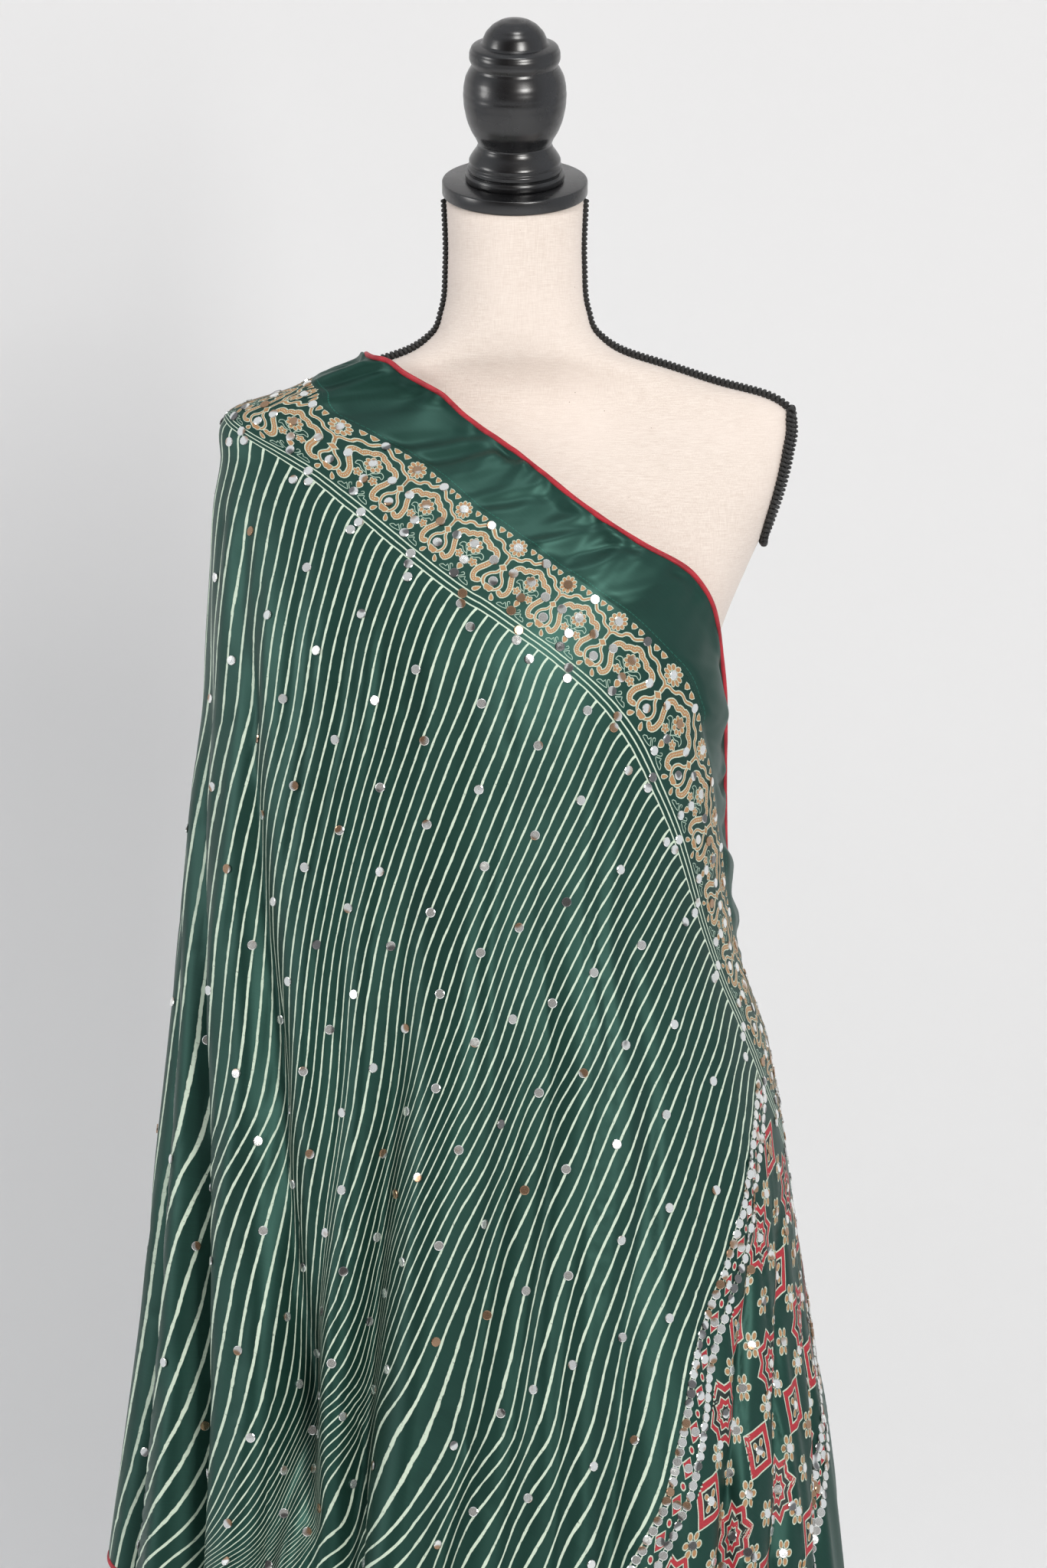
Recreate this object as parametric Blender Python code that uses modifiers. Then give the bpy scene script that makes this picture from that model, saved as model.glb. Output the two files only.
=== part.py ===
"""A block-printed saree draped over the right shoulder of a limbless dress form.

Every height in the tables is measured from a datum STAND_LIFT above the floor.
The cloth is described in its own coordinates: s runs along its length from the
end of the loose panel, v runs across its width from the piped upper edge.
"""
import math

import bmesh
import bpy
import numpy as np
from mathutils import Matrix, Vector

for old in list(bpy.data.objects):
    bpy.data.objects.remove(old, do_unlink=True)

# Driving sizes, in metres and degrees
STAND_LIFT = 0.08
CLOTH_WIDTH = 0.93
CLOTH_WALL = 0.0012
SEAM_GAP = 0.0003
BAND_WIDTH = 0.047
BORDER_WIDTH = 0.108
PIPING_RADIUS = 0.0016
PIPING_SEAT = PIPING_RADIUS + SEAM_GAP
HEM_SEAT = 0.0038
SWEEP_END = 1.60
SHOULDER_S = 1.035
PANEL_START = 0.40
SECTION_POWER = 2.2
PANEL_STAND = 0.006
SWEEP_SINK = 0.011
NECK_TILT = math.radians(18)
# Rows of the cloth's mesh below the border, closer together where it turns over the shoulder
FIELD_ROWS = 17
FIELD_CROWDING = 1.5

# Outer drape: z, left x, right x, front depth, back depth
DRAPE = (
    (-0.080, -0.350, 0.300, 0.240, 0.236),
    (0.300, -0.316, 0.262, 0.212, 0.210),
    (0.540, -0.290, 0.233, 0.191, 0.186),
    (0.600, -0.281, 0.226, 0.184, 0.178),
    (0.700, -0.268, 0.208, 0.172, 0.164),
    (0.800, -0.259, 0.193, 0.160, 0.148),
    (0.900, -0.248, 0.177, 0.150, 0.130),
    (1.000, -0.240, 0.150, 0.143, 0.116),
    (1.080, -0.231, 0.148, 0.141, 0.112),
    (1.150, -0.2205, 0.149, 0.142, 0.113),
    (1.207, -0.217, 0.153, 0.136, 0.115),
    (1.250, -0.214, 0.172, 0.120, 0.113),
    (1.290, -0.211, 0.191, 0.098, 0.104),
    (1.3185, -0.2065, 0.201, 0.077, 0.087),
    (1.3460, -0.2050, 0.202, 0.054, 0.066),
    (1.3543, -0.1990, 0.196, 0.047, 0.058),
    (1.3606, -0.1852, 0.186, 0.043, 0.050),
    (1.3670, -0.1635, 0.167, 0.042, 0.046),
    (1.3745, -0.1455, 0.142, 0.043, 0.046),
    (1.3825, -0.1290, 0.113, 0.046, 0.048),
    (1.3950, -0.1000, 0.072, 0.050, 0.050),
)

# Printed border: s, then angle and z of its inner edge, then angle and z of the piped edge
BORDER = (
    (0.000, -24.0, 0.660, -52.0, 0.712),
    (0.100, -15.0, 0.722, -44.0, 0.770),
    (0.200, -6.0, 0.780, -36.0, 0.825),
    (0.300, 5.0, 0.838, -27.0, 0.880),
    (0.400, 17.5, 0.894, -18.0, 0.932),
    (0.455, 23.5, 0.945, -12.5, 0.985),
    (0.501, 27.0, 0.988, -8.0, 1.030),
    (0.538, 32.0, 1.024, -3.5, 1.069),
    (0.575, 38.5, 1.060, 1.5, 1.108),
    (0.612, 46.0, 1.095, 8.0, 1.151),
    (0.648, 53.5, 1.129, 20.0, 1.202),
    (0.685, 62.5, 1.160, 41.0, 1.242),
    (0.727, 73.0, 1.188, 60.0, 1.266),
    (0.777, 85.0, 1.2140, 75.0, 1.291),
    (0.823, 96.0, 1.2385, 85.8, 1.3165),
    (0.869, 107.5, 1.2645, 93.5, 1.3400),
    (0.915, 120.0, 1.2910, 105.5, 1.3655),
    (0.957, 134.0, 1.3145, 131.0, 1.3870),
    (1.000, 157.0, 1.3385, 158.0, 1.3920),
    (1.035, 180.0, 1.3485, 180.0, 1.3932),
    (1.070, 203.0, 1.3390, 202.0, 1.3913),
    (1.113, 226.0, 1.3150, 228.0, 1.3850),
    (1.160, 240.0, 1.2900, 250.0, 1.3670),
    (1.247, 262.0, 1.240, 272.0, 1.318),
    (1.340, 284.0, 1.188, 296.0, 1.266),
    (1.420, 303.0, 1.128, 322.0, 1.205),
    (1.500, 319.0, 1.050, 345.0, 1.110),
    (1.600, 337.0, 0.955, 366.0, 1.005),
)

# Where the loose panel's cross band and its free end hang: z, band angle, end angle
PANEL_LINES = (
    (-0.080, 102.0, 52.0),
    (0.150, 95.0, 38.0),
    (0.300, 87.0, 25.0),
    (0.450, 76.0, 10.0),
    (0.569, 66.8, -3.0),
    (0.613, 60.5, -11.0),
    (0.669, 55.0, -26.0),
    (0.715, 50.5, -34.0),
    (0.783, 38.0, -44.0),
    (0.844, 27.0, -50.0),
    (0.894, 17.5, -54.0),
)

# The cloth's s at the left of the drape: z, s
LEFT_LINE = ((-0.08, 0.888), (0.3, 0.906), (0.6, 0.929), (0.8, 0.952), (1.0, 0.980), (1.2, 1.003), (1.348, 1.035))

# Folds of the drape: depth, half width, then z and angle at three heights, top first
FOLDS = (
    (0.030, 0.016, 1.290, 151.0, 1.000, 131.0, 0.590, 116.5),
    (0.022, 0.014, 1.080, 109.0, 0.860, 112.5, 0.560, 124.0),
    (0.040, 0.015, 1.080, 95.0, 0.830, 103.0, 0.570, 109.0),
    (0.024, 0.016, 1.020, 73.5, 0.820, 84.5, 0.570, 94.0),
    (0.015, 0.014, 1.080, 67.5, 0.830, 78.5, 0.570, 87.0),
    (0.011, 0.013, 0.960, 61.0, 0.780, 73.0, 0.570, 80.0),
    (0.012, 0.014, 0.930, 51.0, 0.760, 63.0, 0.570, 70.5),
    (0.010, 0.009, 0.840, 24.0, 0.700, 40.0, 0.560, 50.0),
    (0.010, 0.009, 0.820, 12.0, 0.700, 27.0, 0.560, 37.0),
    (0.010, 0.009, 0.800, 0.0, 0.680, 12.0, 0.560, 21.0),
    (0.010, 0.010, 0.740, -16.0, 0.640, -8.0, 0.500, 6.0),
    (0.034, 0.017, 1.260, 172.0, 0.900, 152.0, 0.560, 141.0),
    (0.036, 0.018, 1.250, 186.0, 0.900, 172.0, 0.560, 164.0),
    (0.034, 0.018, 1.250, 200.0, 0.900, 194.0, 0.560, 188.0),
    (0.034, 0.018, 1.230, 216.0, 0.900, 212.0, 0.560, 208.0),
    (0.028, 0.017, 1.200, 232.0, 0.900, 230.0, 0.560, 226.0),
    (0.020, 0.016, 1.140, 246.0, 0.880, 247.0, 0.560, 244.0),
    (0.015, 0.016, 1.080, 262.0, 0.860, 263.0, 0.560, 261.0),
    (0.013, 0.015, 1.020, 279.0, 0.840, 279.0, 0.560, 277.0),
    (0.012, 0.015, 0.960, 296.0, 0.800, 295.0, 0.560, 293.0),
    (0.010, 0.014, 0.920, 313.0, 0.780, 311.0, 0.560, 309.0),
    (0.008, 0.013, 0.880, 328.0, 0.760, 327.0, 0.560, 325.0),
)

# Dress form: z, half width, front depth, back depth
TORSO = (
    (0.690, 0.126, 0.086, 0.094),
    (0.700, 0.138, 0.094, 0.104),
    (0.725, 0.146, 0.098, 0.110),
    (0.800, 0.148, 0.100, 0.113),
    (0.870, 0.142, 0.097, 0.106),
    (0.940, 0.129, 0.092, 0.094),
    (1.000, 0.119, 0.088, 0.084),
    (1.060, 0.120, 0.095, 0.083),
    (1.130, 0.134, 0.115, 0.090),
    (1.185, 0.140, 0.118, 0.096),
    (1.207, 0.147, 0.113, 0.098),
    (1.245, 0.163, 0.100, 0.100),
    (1.275, 0.1765, 0.088, 0.098),
    (1.299, 0.1855, 0.079, 0.091),
    (1.3235, 0.1915, 0.061, 0.076),
    (1.3450, 0.1930, 0.043, 0.055),
    (1.3540, 0.1895, 0.037, 0.046),
    (1.3629, 0.1740, 0.034, 0.040),
    (1.3711, 0.1430, 0.034, 0.038),
    (1.3822, 0.1088, 0.038, 0.040),
    (1.3925, 0.0765, 0.0445, 0.0445),
    (1.4055, 0.0575, 0.0480, 0.0480),
    (1.4230, 0.0500, 0.0485, 0.0485),
    (1.4560, 0.0468, 0.0480, 0.0480),
    (1.5045, 0.0480, 0.0480, 0.0480),
)
TILT_FROM = 1.415

# Wrapped skirt under the drape: z, half width, front depth, back depth
SKIRT = (
    (-0.065, 0.250, 0.176, 0.205),
    (0.100, 0.232, 0.164, 0.190),
    (0.300, 0.212, 0.148, 0.172),
    (0.500, 0.194, 0.134, 0.156),
    (0.700, 0.171, 0.120, 0.138),
    (0.800, 0.159, 0.114, 0.126),
    (0.880, 0.150, 0.109, 0.115),
    (0.950, 0.136, 0.103, 0.102),
    (1.010, 0.1238, 0.0948, 0.0896),
)
SKIRT_WAVES = 22
SKIRT_WAVE_TOP = 0.0012
SKIRT_WAVE_HEM = 0.0095

# Tucked pleats in front of the skirt
PLEATS = 7
PLEAT_FROM = 66.0
PLEAT_TO = 108.0
PLEAT_STAND = 0.0015
PLEAT_DEPTH_TOP = 0.0045
PLEAT_DEPTH_HEM = 0.0110

# Turned parts of the stand, as radius and height pairs
FINIAL = (
    (0.0340, 0.0003), (0.0345, 0.0014), (0.0345, 0.0050), (0.0339, 0.0062), (0.0323, 0.0066),
    (0.0329, 0.0078), (0.0329, 0.0104), (0.0317, 0.0120), (0.0320, 0.0142), (0.0308, 0.0172),
    (0.0286, 0.0206), (0.0262, 0.0248), (0.0262, 0.0282), (0.0289, 0.0336), (0.0318, 0.0396),
    (0.0345, 0.0490), (0.0357, 0.0584), (0.0357, 0.0644), (0.0349, 0.0710), (0.0332, 0.0766),
    (0.0305, 0.0814), (0.0299, 0.0832), (0.0311, 0.0860), (0.0316, 0.0900), (0.0306, 0.0942),
    (0.0284, 0.0967), (0.0238, 0.0980), (0.0228, 0.0992), (0.0211, 0.1038), (0.0179, 0.1083),
    (0.0131, 0.1123), (0.0070, 0.1148), (0.0, 0.1158),
)
CAP_RADIUS = 0.0508
CAP_THICK = 0.0102
CAP_ROUND = 0.0015
BASE = (
    (0.153, 0.0), (0.155, 0.004), (0.155, 0.015), (0.149, 0.021), (0.125, 0.026),
    (0.060, 0.034), (0.040, 0.042), (0.030, 0.060), (0.026, 0.075), (0.0, 0.075),
)
POLE_RADIUS = 0.0175
BRAID_HALF_WIDTH = 0.0038
BRAID_HALF_THICK = 0.0016
BRAID_SEAT = 0.0003
BRAID_TOP = 1.5005
BRAID_ENDS = {"right": 1.3550, "left": 1.3827}
ARMHOLE_SEAT = 0.0017
ARMHOLE_MIDDLE = 1.3040
ARMHOLE_HALF_HEIGHT = 0.0415
ARMHOLE_HALF_ANGLE = 17.0


def named(rows, column):
    return np.array([row[column] for row in rows])


def smooth_at(x, xs, ys):
    """A smooth curve through the points of a table, with no overshoot at the ends."""
    x = np.clip(x, xs[0], xs[-1])
    slope = np.gradient(ys, xs)
    i = np.clip(np.searchsorted(xs, x) - 1, 0, len(xs) - 2)
    span = xs[i + 1] - xs[i]
    t = (x - xs[i]) / span
    a = (1 + 2 * t) * (1 - t) ** 2
    b = t * (1 - t) ** 2
    c = t * t * (3 - 2 * t)
    d = t * t * (t - 1)
    return a * ys[i] + b * span * slope[i] + c * ys[i + 1] + d * span * slope[i + 1]


def column_at(z, rows, column):
    return smooth_at(z, named(rows, 0), named(rows, column))


def smoothstep(x, low, high):
    t = np.clip((x - low) / (high - low), 0.0, 1.0)
    return t * t * (3 - 2 * t)


def superellipse(angle, centre, half, front, back, power=SECTION_POWER):
    """A point and the outward normal of one level section; the front is at 90 degrees."""
    c = np.cos(angle)
    s = np.sin(angle)
    depth = np.where(s > 0, front, back)
    x = centre + half * np.sign(c) * np.abs(c) ** (2 / power)
    y = -depth * np.sign(s) * np.abs(s) ** (2 / power)
    nx = np.sign(c) * np.abs(c) ** (2 - 2 / power) / half
    ny = -np.sign(s) * np.abs(s) ** (2 - 2 / power) / depth
    size = np.hypot(nx, ny)
    return x, y, nx / size, ny / size


def drape_section(angle, z):
    left = column_at(z, DRAPE, 1)
    right = column_at(z, DRAPE, 2)
    x, y, nx, ny = superellipse(
        angle, (left + right) / 2, (right - left) / 2, column_at(z, DRAPE, 3), column_at(z, DRAPE, 4)
    )
    # The loose panel hangs over the sweep's start, so one lies outside the other
    degrees = np.degrees(angle)
    outer = PANEL_STAND * (1 - smoothstep(degrees, -20, 25))
    inner = SWEEP_SINK * smoothstep(degrees, 275, 318) * (1 - smoothstep(z, 1.05, 1.15))
    layer = outer * (1 - smoothstep(z, 1.0, 1.1)) - inner
    return x + nx * layer, y + ny * layer, nx, ny


def fold_depth(angle, z):
    """How far the folds sink the drape at an angle and a height."""
    sunk = np.zeros(np.broadcast(angle, z).shape)
    radius = 0.5 * (column_at(z, DRAPE, 2) - column_at(z, DRAPE, 1)) * 0.5 + 0.5 * column_at(z, DRAPE, 3)
    for depth, width, z0, a0, z1, a1, z2, a2 in FOLDS:
        middle = smooth_at(z, np.array([z2, z1, z0]), np.array([a2, a1, a0]))
        off = (angle - np.radians(middle)) * radius
        spread = width * (0.75 + 0.25 * smoothstep(-z, -z0, -z2))
        grow = smoothstep(-z, -z0 - 0.03, -z2) ** 0.8
        sunk = sunk + depth * grow * np.exp(-np.abs(off / spread) ** 1.7)
    return sunk


def drape_point(angle, z):
    x, y, nx, ny = drape_section(angle, z)
    sunk = fold_depth(angle, z)
    return x - nx * sunk, y - ny * sunk


# Level rows on which the cloth's s is matched to its angle
ROW_Z = np.arange(-0.080, 1.4001, 0.008)
ROW_DEGREES = np.arange(-80.0, 372.0, 1.0)
S_STEPS = np.arange(0.0, SWEEP_END + 0.0001, 0.004)


def edge_curve(column):
    return lambda s: smooth_at(s, named(BORDER, 0), named(BORDER, column))


INNER_DEG, INNER_Z, PIPED_DEG, PIPED_Z = (edge_curve(k) for k in (1, 2, 3, 4))


def row_anchors(z):
    """Known (angle, s) pairs of one level row, from the free end round to the sweep's end."""
    s = np.linspace(0, SHOULDER_S, 500)
    front_z = INNER_Z(s)
    anchors = []
    if z > front_z[0]:
        first = np.interp(z, front_z, s)
        anchors.append((float(INNER_DEG(first)), first))
    else:
        anchors.append((float(column_at(z, PANEL_LINES, 2)), 0.0))
    band_z = float(INNER_Z(PANEL_START))
    if z < band_z - 0.004:
        anchors.append((float(column_at(z, PANEL_LINES, 1)), PANEL_START))
    left = float(np.interp(z, named(LEFT_LINE, 0), named(LEFT_LINE, 1)))
    if left > anchors[-1][1] + 0.004:
        anchors.append((180.0, left))
    s = np.linspace(SHOULDER_S, SWEEP_END, 400)
    back_z = INNER_Z(s)
    if z > back_z[-1]:
        last = np.interp(-z, -back_z, s)
        anchors.append((max(float(INNER_DEG(last)), 181.0), max(last, anchors[-1][1] + 0.004)))
    else:
        anchors.append((337.0, SWEEP_END))
    return anchors


def angle_table():
    """For each level row, the angle at which each s of the cloth lies, folds included."""
    angle = np.radians(ROW_DEGREES)
    table = []
    for z in ROW_Z:
        x, y = drape_point(angle, np.full_like(angle, z))
        length = np.concatenate([[0], np.cumsum(np.hypot(np.diff(x), np.diff(y)))])
        anchors = row_anchors(float(z))
        at = np.interp([a for a, _ in anchors], ROW_DEGREES, length)
        known = np.array([value for _, value in anchors])
        run = np.interp(S_STEPS, known, at)
        low, high = S_STEPS < known[0], S_STEPS > known[-1]
        run[low] = at[0] - (known[0] - S_STEPS[low])
        run[high] = at[-1] + (S_STEPS[high] - known[-1])
        table.append(np.interp(run, length, ROW_DEGREES))
    return np.array(table)


ANGLES = angle_table()


def angle_of(s, z):
    """Reads the angle table between its rows and columns."""
    i = np.clip((z - ROW_Z[0]) / (ROW_Z[1] - ROW_Z[0]), 0, len(ROW_Z) - 1.001)
    j = np.clip(s / (S_STEPS[1] - S_STEPS[0]), 0, len(S_STEPS) - 1.001)
    i0, j0 = i.astype(int), j.astype(int)
    fi, fj = i - i0, j - j0
    low = ANGLES[i0, j0] * (1 - fj) + ANGLES[i0, j0 + 1] * fj
    high = ANGLES[i0 + 1, j0] * (1 - fj) + ANGLES[i0 + 1, j0 + 1] * fj
    return low * (1 - fi) + high * fi


def cloth_place(s, v):
    """The angle and height of the cloth's own point (s, v)."""
    s, v = np.broadcast_arrays(np.asarray(s, float), np.asarray(v, float))
    share = np.clip(v / BORDER_WIDTH, 0, 1)
    inner_z = INNER_Z(s)
    # Down the loose panel's slant a step of cloth drops less
    drop = np.maximum(v - BORDER_WIDTH, 0) / (1.08 + 0.12 * (1 - smoothstep(s, 0.0, PANEL_START)))
    z = np.where(v < BORDER_WIDTH, PIPED_Z(s) * (1 - share) + inner_z * share, inner_z - drop)
    within = PIPED_DEG(s) * (1 - share) + INNER_DEG(s) * share
    below = angle_of(s, z) + (INNER_DEG(s) - angle_of(s, inner_z)) * np.exp(-drop / 0.05)
    return np.radians(np.where(v < BORDER_WIDTH, within, below)), z


def cloth_point(s, v):
    angle, z = cloth_place(s, v)
    x, y = drape_point(angle, z)
    return np.stack([x, y, z + STAND_LIFT], axis=-1)


# Meshes and materials
part = bpy.data.collections.new("ajrakh_saree_on_dress_form")
bpy.context.scene.collection.children.link(part)

FINISHES = {
    "green_satin": ((0.010, 0.095, 0.065), 0.38, 0.0),
    "printed_satin": ((0.020, 0.110, 0.075), 0.42, 0.0),
    "red_piping": ((0.50, 0.020, 0.030), 0.50, 0.0),
    "canvas": ((0.78, 0.70, 0.62), 0.90, 0.0),
    "black_braid": ((0.010, 0.010, 0.012), 0.75, 0.0),
    "black_gloss": ((0.006, 0.006, 0.007), 0.28, 0.0),
}


def material(name):
    made = bpy.data.materials.get(name)
    if made is None:
        colour, roughness, metallic = FINISHES[name]
        made = bpy.data.materials.new(name)
        made.use_nodes = True
        shader = made.node_tree.nodes["Principled BSDF"]
        shader.inputs["Base Color"].default_value = (*colour, 1.0)
        shader.inputs["Roughness"].default_value = roughness
        shader.inputs["Metallic"].default_value = metallic
    return made


def add_object(name, mesh, finish):
    made = bpy.data.objects.new(name, mesh)
    mesh.materials.append(material(finish))
    part.objects.link(made)
    mesh.shade_smooth()
    return made


def mesh_from(name, points, faces):
    mesh = bpy.data.meshes.new(name)
    mesh.from_pydata([tuple(p) for p in points], [], faces)
    mesh.update()
    return mesh


def closed_mesh(name, points, faces):
    """A closed mesh whose faces are turned to point out."""
    mesh = mesh_from(name, points, faces)
    turned = bmesh.new()
    turned.from_mesh(mesh)
    bmesh.ops.recalc_face_normals(turned, faces=turned.faces)
    turned.to_mesh(mesh)
    turned.free()
    return mesh


def grid_faces(rows, columns, around=False):
    """Quads over a grid of points, stored row by row; around joins its last column to its first."""
    faces = []
    for i in range(rows - 1):
        for j in range(columns if around else columns - 1):
            k = (j + 1) % columns
            faces.append((i * columns + j, (i + 1) * columns + j, (i + 1) * columns + k, i * columns + k))
    return faces


def add_wall(name, grid, finish, around=False, flip=False):
    """A cloth wall: an open sheet of points, thickened inwards."""
    rows, columns = grid.shape[:2]
    faces = grid_faces(rows, columns, around)
    if flip:
        faces = [face[::-1] for face in faces]
    made = add_object(name, mesh_from(name, grid.reshape(-1, 3), faces), finish)
    wall = made.modifiers.new("wall", "SOLIDIFY")
    wall.thickness = CLOTH_WALL
    wall.offset = -1.0
    return made


def add_cord(name, path, out, half_out, half_side, finish, sides=4, closed=False):
    """A cord of oval section along a path, with the outward direction given at each point."""
    path, out = np.asarray(path), np.asarray(out)
    if closed:
        along = np.roll(path, -1, 0) - np.roll(path, 1, 0)
    else:
        along = np.gradient(path, axis=0)
    along /= np.linalg.norm(along, axis=1)[:, None]
    out = out - along * (out * along).sum(1)[:, None]
    out /= np.linalg.norm(out, axis=1)[:, None]
    side = np.cross(along, out)
    rings = []
    for k in range(sides):
        turn = 2 * math.pi * (k + 0.5) / sides
        rings.append(path + out * half_out * math.cos(turn) + side * half_side * math.sin(turn))
    points = np.stack(rings, axis=1).reshape(-1, 3)
    count = len(path)
    faces = []
    for i in range(count if closed else count - 1):
        n = (i + 1) % count
        for k in range(sides):
            m = (k + 1) % sides
            faces.append((i * sides + k, n * sides + k, n * sides + m, i * sides + m))
    if not closed:
        faces.append(tuple(range(sides)))
        faces.append(tuple((count - 1) * sides + k for k in range(sides)))
    return add_object(name, closed_mesh(name, points, faces), finish)


def outward(points_at, s, v):
    """The drape's outward normal at cloth points, from small steps over it."""
    step = 0.0015
    ds = points_at(s + step, v) - points_at(s - step, v)
    dv = points_at(s, v + step) - points_at(s, v - step)
    normal = np.cross(ds, dv)
    return normal / np.linalg.norm(normal, axis=-1)[..., None]


def column_steps():
    """The s of the cloth's mesh columns, closer together where the deep folds gather."""
    steps = [0.0]
    while steps[-1] < SWEEP_END:
        fine = smoothstep(steps[-1], 0.62, 0.75) * (1 - smoothstep(steps[-1], 1.15, 1.25))
        steps.append(steps[-1] + 0.0205 - 0.0075 * fine)
    return np.array(steps) * SWEEP_END / steps[-1]


def add_saree():
    s = column_steps()
    seam = SEAM_GAP / 2
    band = np.linspace(PIPING_SEAT, BAND_WIDTH - seam, 3)
    add_wall("saree_plain_band", cloth_point(s[None, :], band[:, None]), "green_satin")
    upper = np.linspace(BAND_WIDTH + seam, BORDER_WIDTH, 4)
    share = np.linspace(0, 1, FIELD_ROWS)[1:] ** FIELD_CROWDING
    field = np.concatenate([upper, BORDER_WIDTH + (CLOTH_WIDTH - HEM_SEAT - BORDER_WIDTH) * share])
    add_wall("saree_shoulder_drape", cloth_point(s[None, :], field[:, None]), "printed_satin")
    for name, v in (("saree_upper_piping", 0.0), ("saree_hem_piping", CLOTH_WIDTH)):
        edge = np.full_like(s, v)
        path = cloth_point(s, edge)
        out = outward(cloth_point, s, edge)
        centre = path - out * (CLOTH_WALL / 2)
        add_cord(name, centre, out, PIPING_RADIUS, PIPING_RADIUS, "red_piping")


def skirt_point(angle, z, stand=0.0):
    half, front, back = (column_at(z, SKIRT, k) for k in (1, 2, 3))
    x, y, nx, ny = superellipse(angle, 0.0, half, front, back)
    grow = smoothstep(-z, -0.95, 0.06)
    wave = SKIRT_WAVE_TOP + (SKIRT_WAVE_HEM - SKIRT_WAVE_TOP) * grow
    calm = 1 - 0.75 * np.exp(-((np.degrees(angle) - 87) / 27) ** 4)
    stand = stand - wave * calm * (1 + np.cos(SKIRT_WAVES * angle))
    return np.stack([x + nx * stand, y + ny * stand, z + STAND_LIFT], axis=-1)


def add_skirt():
    columns = SKIRT_WAVES * 4
    angle = np.arange(columns) * 2 * math.pi / columns
    z = np.array([1.010, 0.950, 0.880, 0.760, 0.540, 0.260, -0.065])
    grid = skirt_point(angle[None, :], np.broadcast_to(z[:, None], (len(z), columns)))
    add_wall("saree_skirt_wrap", grid, "printed_satin", around=True, flip=True)


def add_pleats():
    """Knife pleats: each laps a little over the next, and all widen towards the hem."""
    per = 4
    phase = np.linspace(0, PLEATS, PLEATS * per + 1)
    saw = np.interp(phase % 1.0, [0, 0.25, 0.5, 0.75, 1.0], [0.0, 0.95, 0.75, 0.35, 0.0])
    z = np.array([1.000, 0.950, 0.880, 0.760, 0.540, 0.260, -0.065])
    rows = []
    for level in z:
        grow = float(smoothstep(-level, -0.98, 0.06))
        depth = PLEAT_DEPTH_TOP + (PLEAT_DEPTH_HEM - PLEAT_DEPTH_TOP) * grow
        middle = (PLEAT_FROM + PLEAT_TO) / 2
        spread = (PLEAT_TO - PLEAT_FROM) * (0.72 + 0.28 * grow)
        degrees = middle + spread * (phase / PLEATS - 0.5)
        half, front, back = (column_at(level, SKIRT, k) for k in (1, 2, 3))
        x, y, nx, ny = superellipse(np.radians(degrees), 0.0, half, front, back)
        stand = PLEAT_STAND + depth * saw
        height = np.full_like(x, level + STAND_LIFT)
        rows.append(np.stack([x + nx * stand, y + ny * stand, height], axis=-1))
    add_wall("saree_front_pleats", np.array(rows), "printed_satin", flip=True)


def torso_point(angle, z, stand=0.0):
    half, front, back = (column_at(z, TORSO, k) for k in (1, 2, 3))
    x, y, nx, ny = superellipse(angle, 0.0, half, front, back, 2.0 + 0.3 * (1 - smoothstep(z, 1.39, 1.43)))
    x, y = x + nx * stand, y + ny * stand
    lean = smoothstep(z, TILT_FROM, TORSO[-1][0]) * math.tan(NECK_TILT)
    return np.stack([x, y, z + y * lean + STAND_LIFT], axis=-1)


def add_torso():
    columns = 32
    angle = np.arange(columns) * 2 * math.pi / columns
    grid = np.array([torso_point(angle, np.full_like(angle, row[0])) for row in reversed(TORSO)])
    count = len(TORSO)
    faces = grid_faces(count, columns, around=True)
    faces.append(tuple(range(columns)))
    faces.append(tuple((count - 1) * columns + k for k in range(columns)))
    add_object("form_torso", closed_mesh("form_torso", grid.reshape(-1, 3), faces), "canvas")


def add_turned(name, profile, finish, steps):
    """A turned piece from radius and height pairs, listed from the bottom up."""
    points = [(0.0, 0.0, profile[0][1])] + [(r, 0.0, h) for r, h in profile]
    points.reverse()
    mesh = mesh_from(name, points, [])
    mesh.edges.add(len(points) - 1)
    for k, edge in enumerate(mesh.edges):
        edge.vertices = (k, k + 1)
    made = add_object(name, mesh, finish)
    turn = made.modifiers.new("turn", "SCREW")
    turn.steps = turn.render_steps = steps
    turn.use_merge_vertices = True
    turn.merge_threshold = 0.00005
    return made


def add_stand():
    neck_top = Vector((0, 0, TORSO[-1][0] + STAND_LIFT))
    tilt = Matrix.Rotation(NECK_TILT, 4, "X")
    up = tilt @ Vector((0, 0, 1))
    cap = add_turned(
        "form_neck_cap",
        (
            (CAP_RADIUS - CAP_ROUND, 0.0),
            (CAP_RADIUS, CAP_ROUND),
            (CAP_RADIUS, CAP_THICK - CAP_ROUND),
            (CAP_RADIUS - CAP_ROUND, CAP_THICK),
            (0.0, CAP_THICK),
        ),
        "black_gloss",
        36,
    )
    cap.matrix_world = Matrix.Translation(neck_top + up * SEAM_GAP) @ tilt
    finial = add_turned("form_finial", FINIAL, "black_gloss", 20)
    finial.matrix_world = Matrix.Translation(neck_top + up * (SEAM_GAP + CAP_THICK)) @ tilt
    add_turned("form_base", BASE, "black_gloss", 24)
    bottom = BASE[-1][1] + SEAM_GAP
    top = TORSO[0][0] + STAND_LIFT - SEAM_GAP
    add_turned("form_pole", ((POLE_RADIUS, bottom), (POLE_RADIUS, top), (0.0, top)), "black_gloss", 16)


def side_seam(side, heights):
    """Points down one side of the neck and shoulder, and the outward direction at each."""
    angle = np.full_like(heights, 0.0 if side > 0 else math.pi)
    on = torso_point(angle, heights)
    out = np.cross(np.gradient(on, axis=0), np.array([0.0, 1.0, 0.0])) * side
    return on, out / np.linalg.norm(out, axis=1)[:, None]


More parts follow.
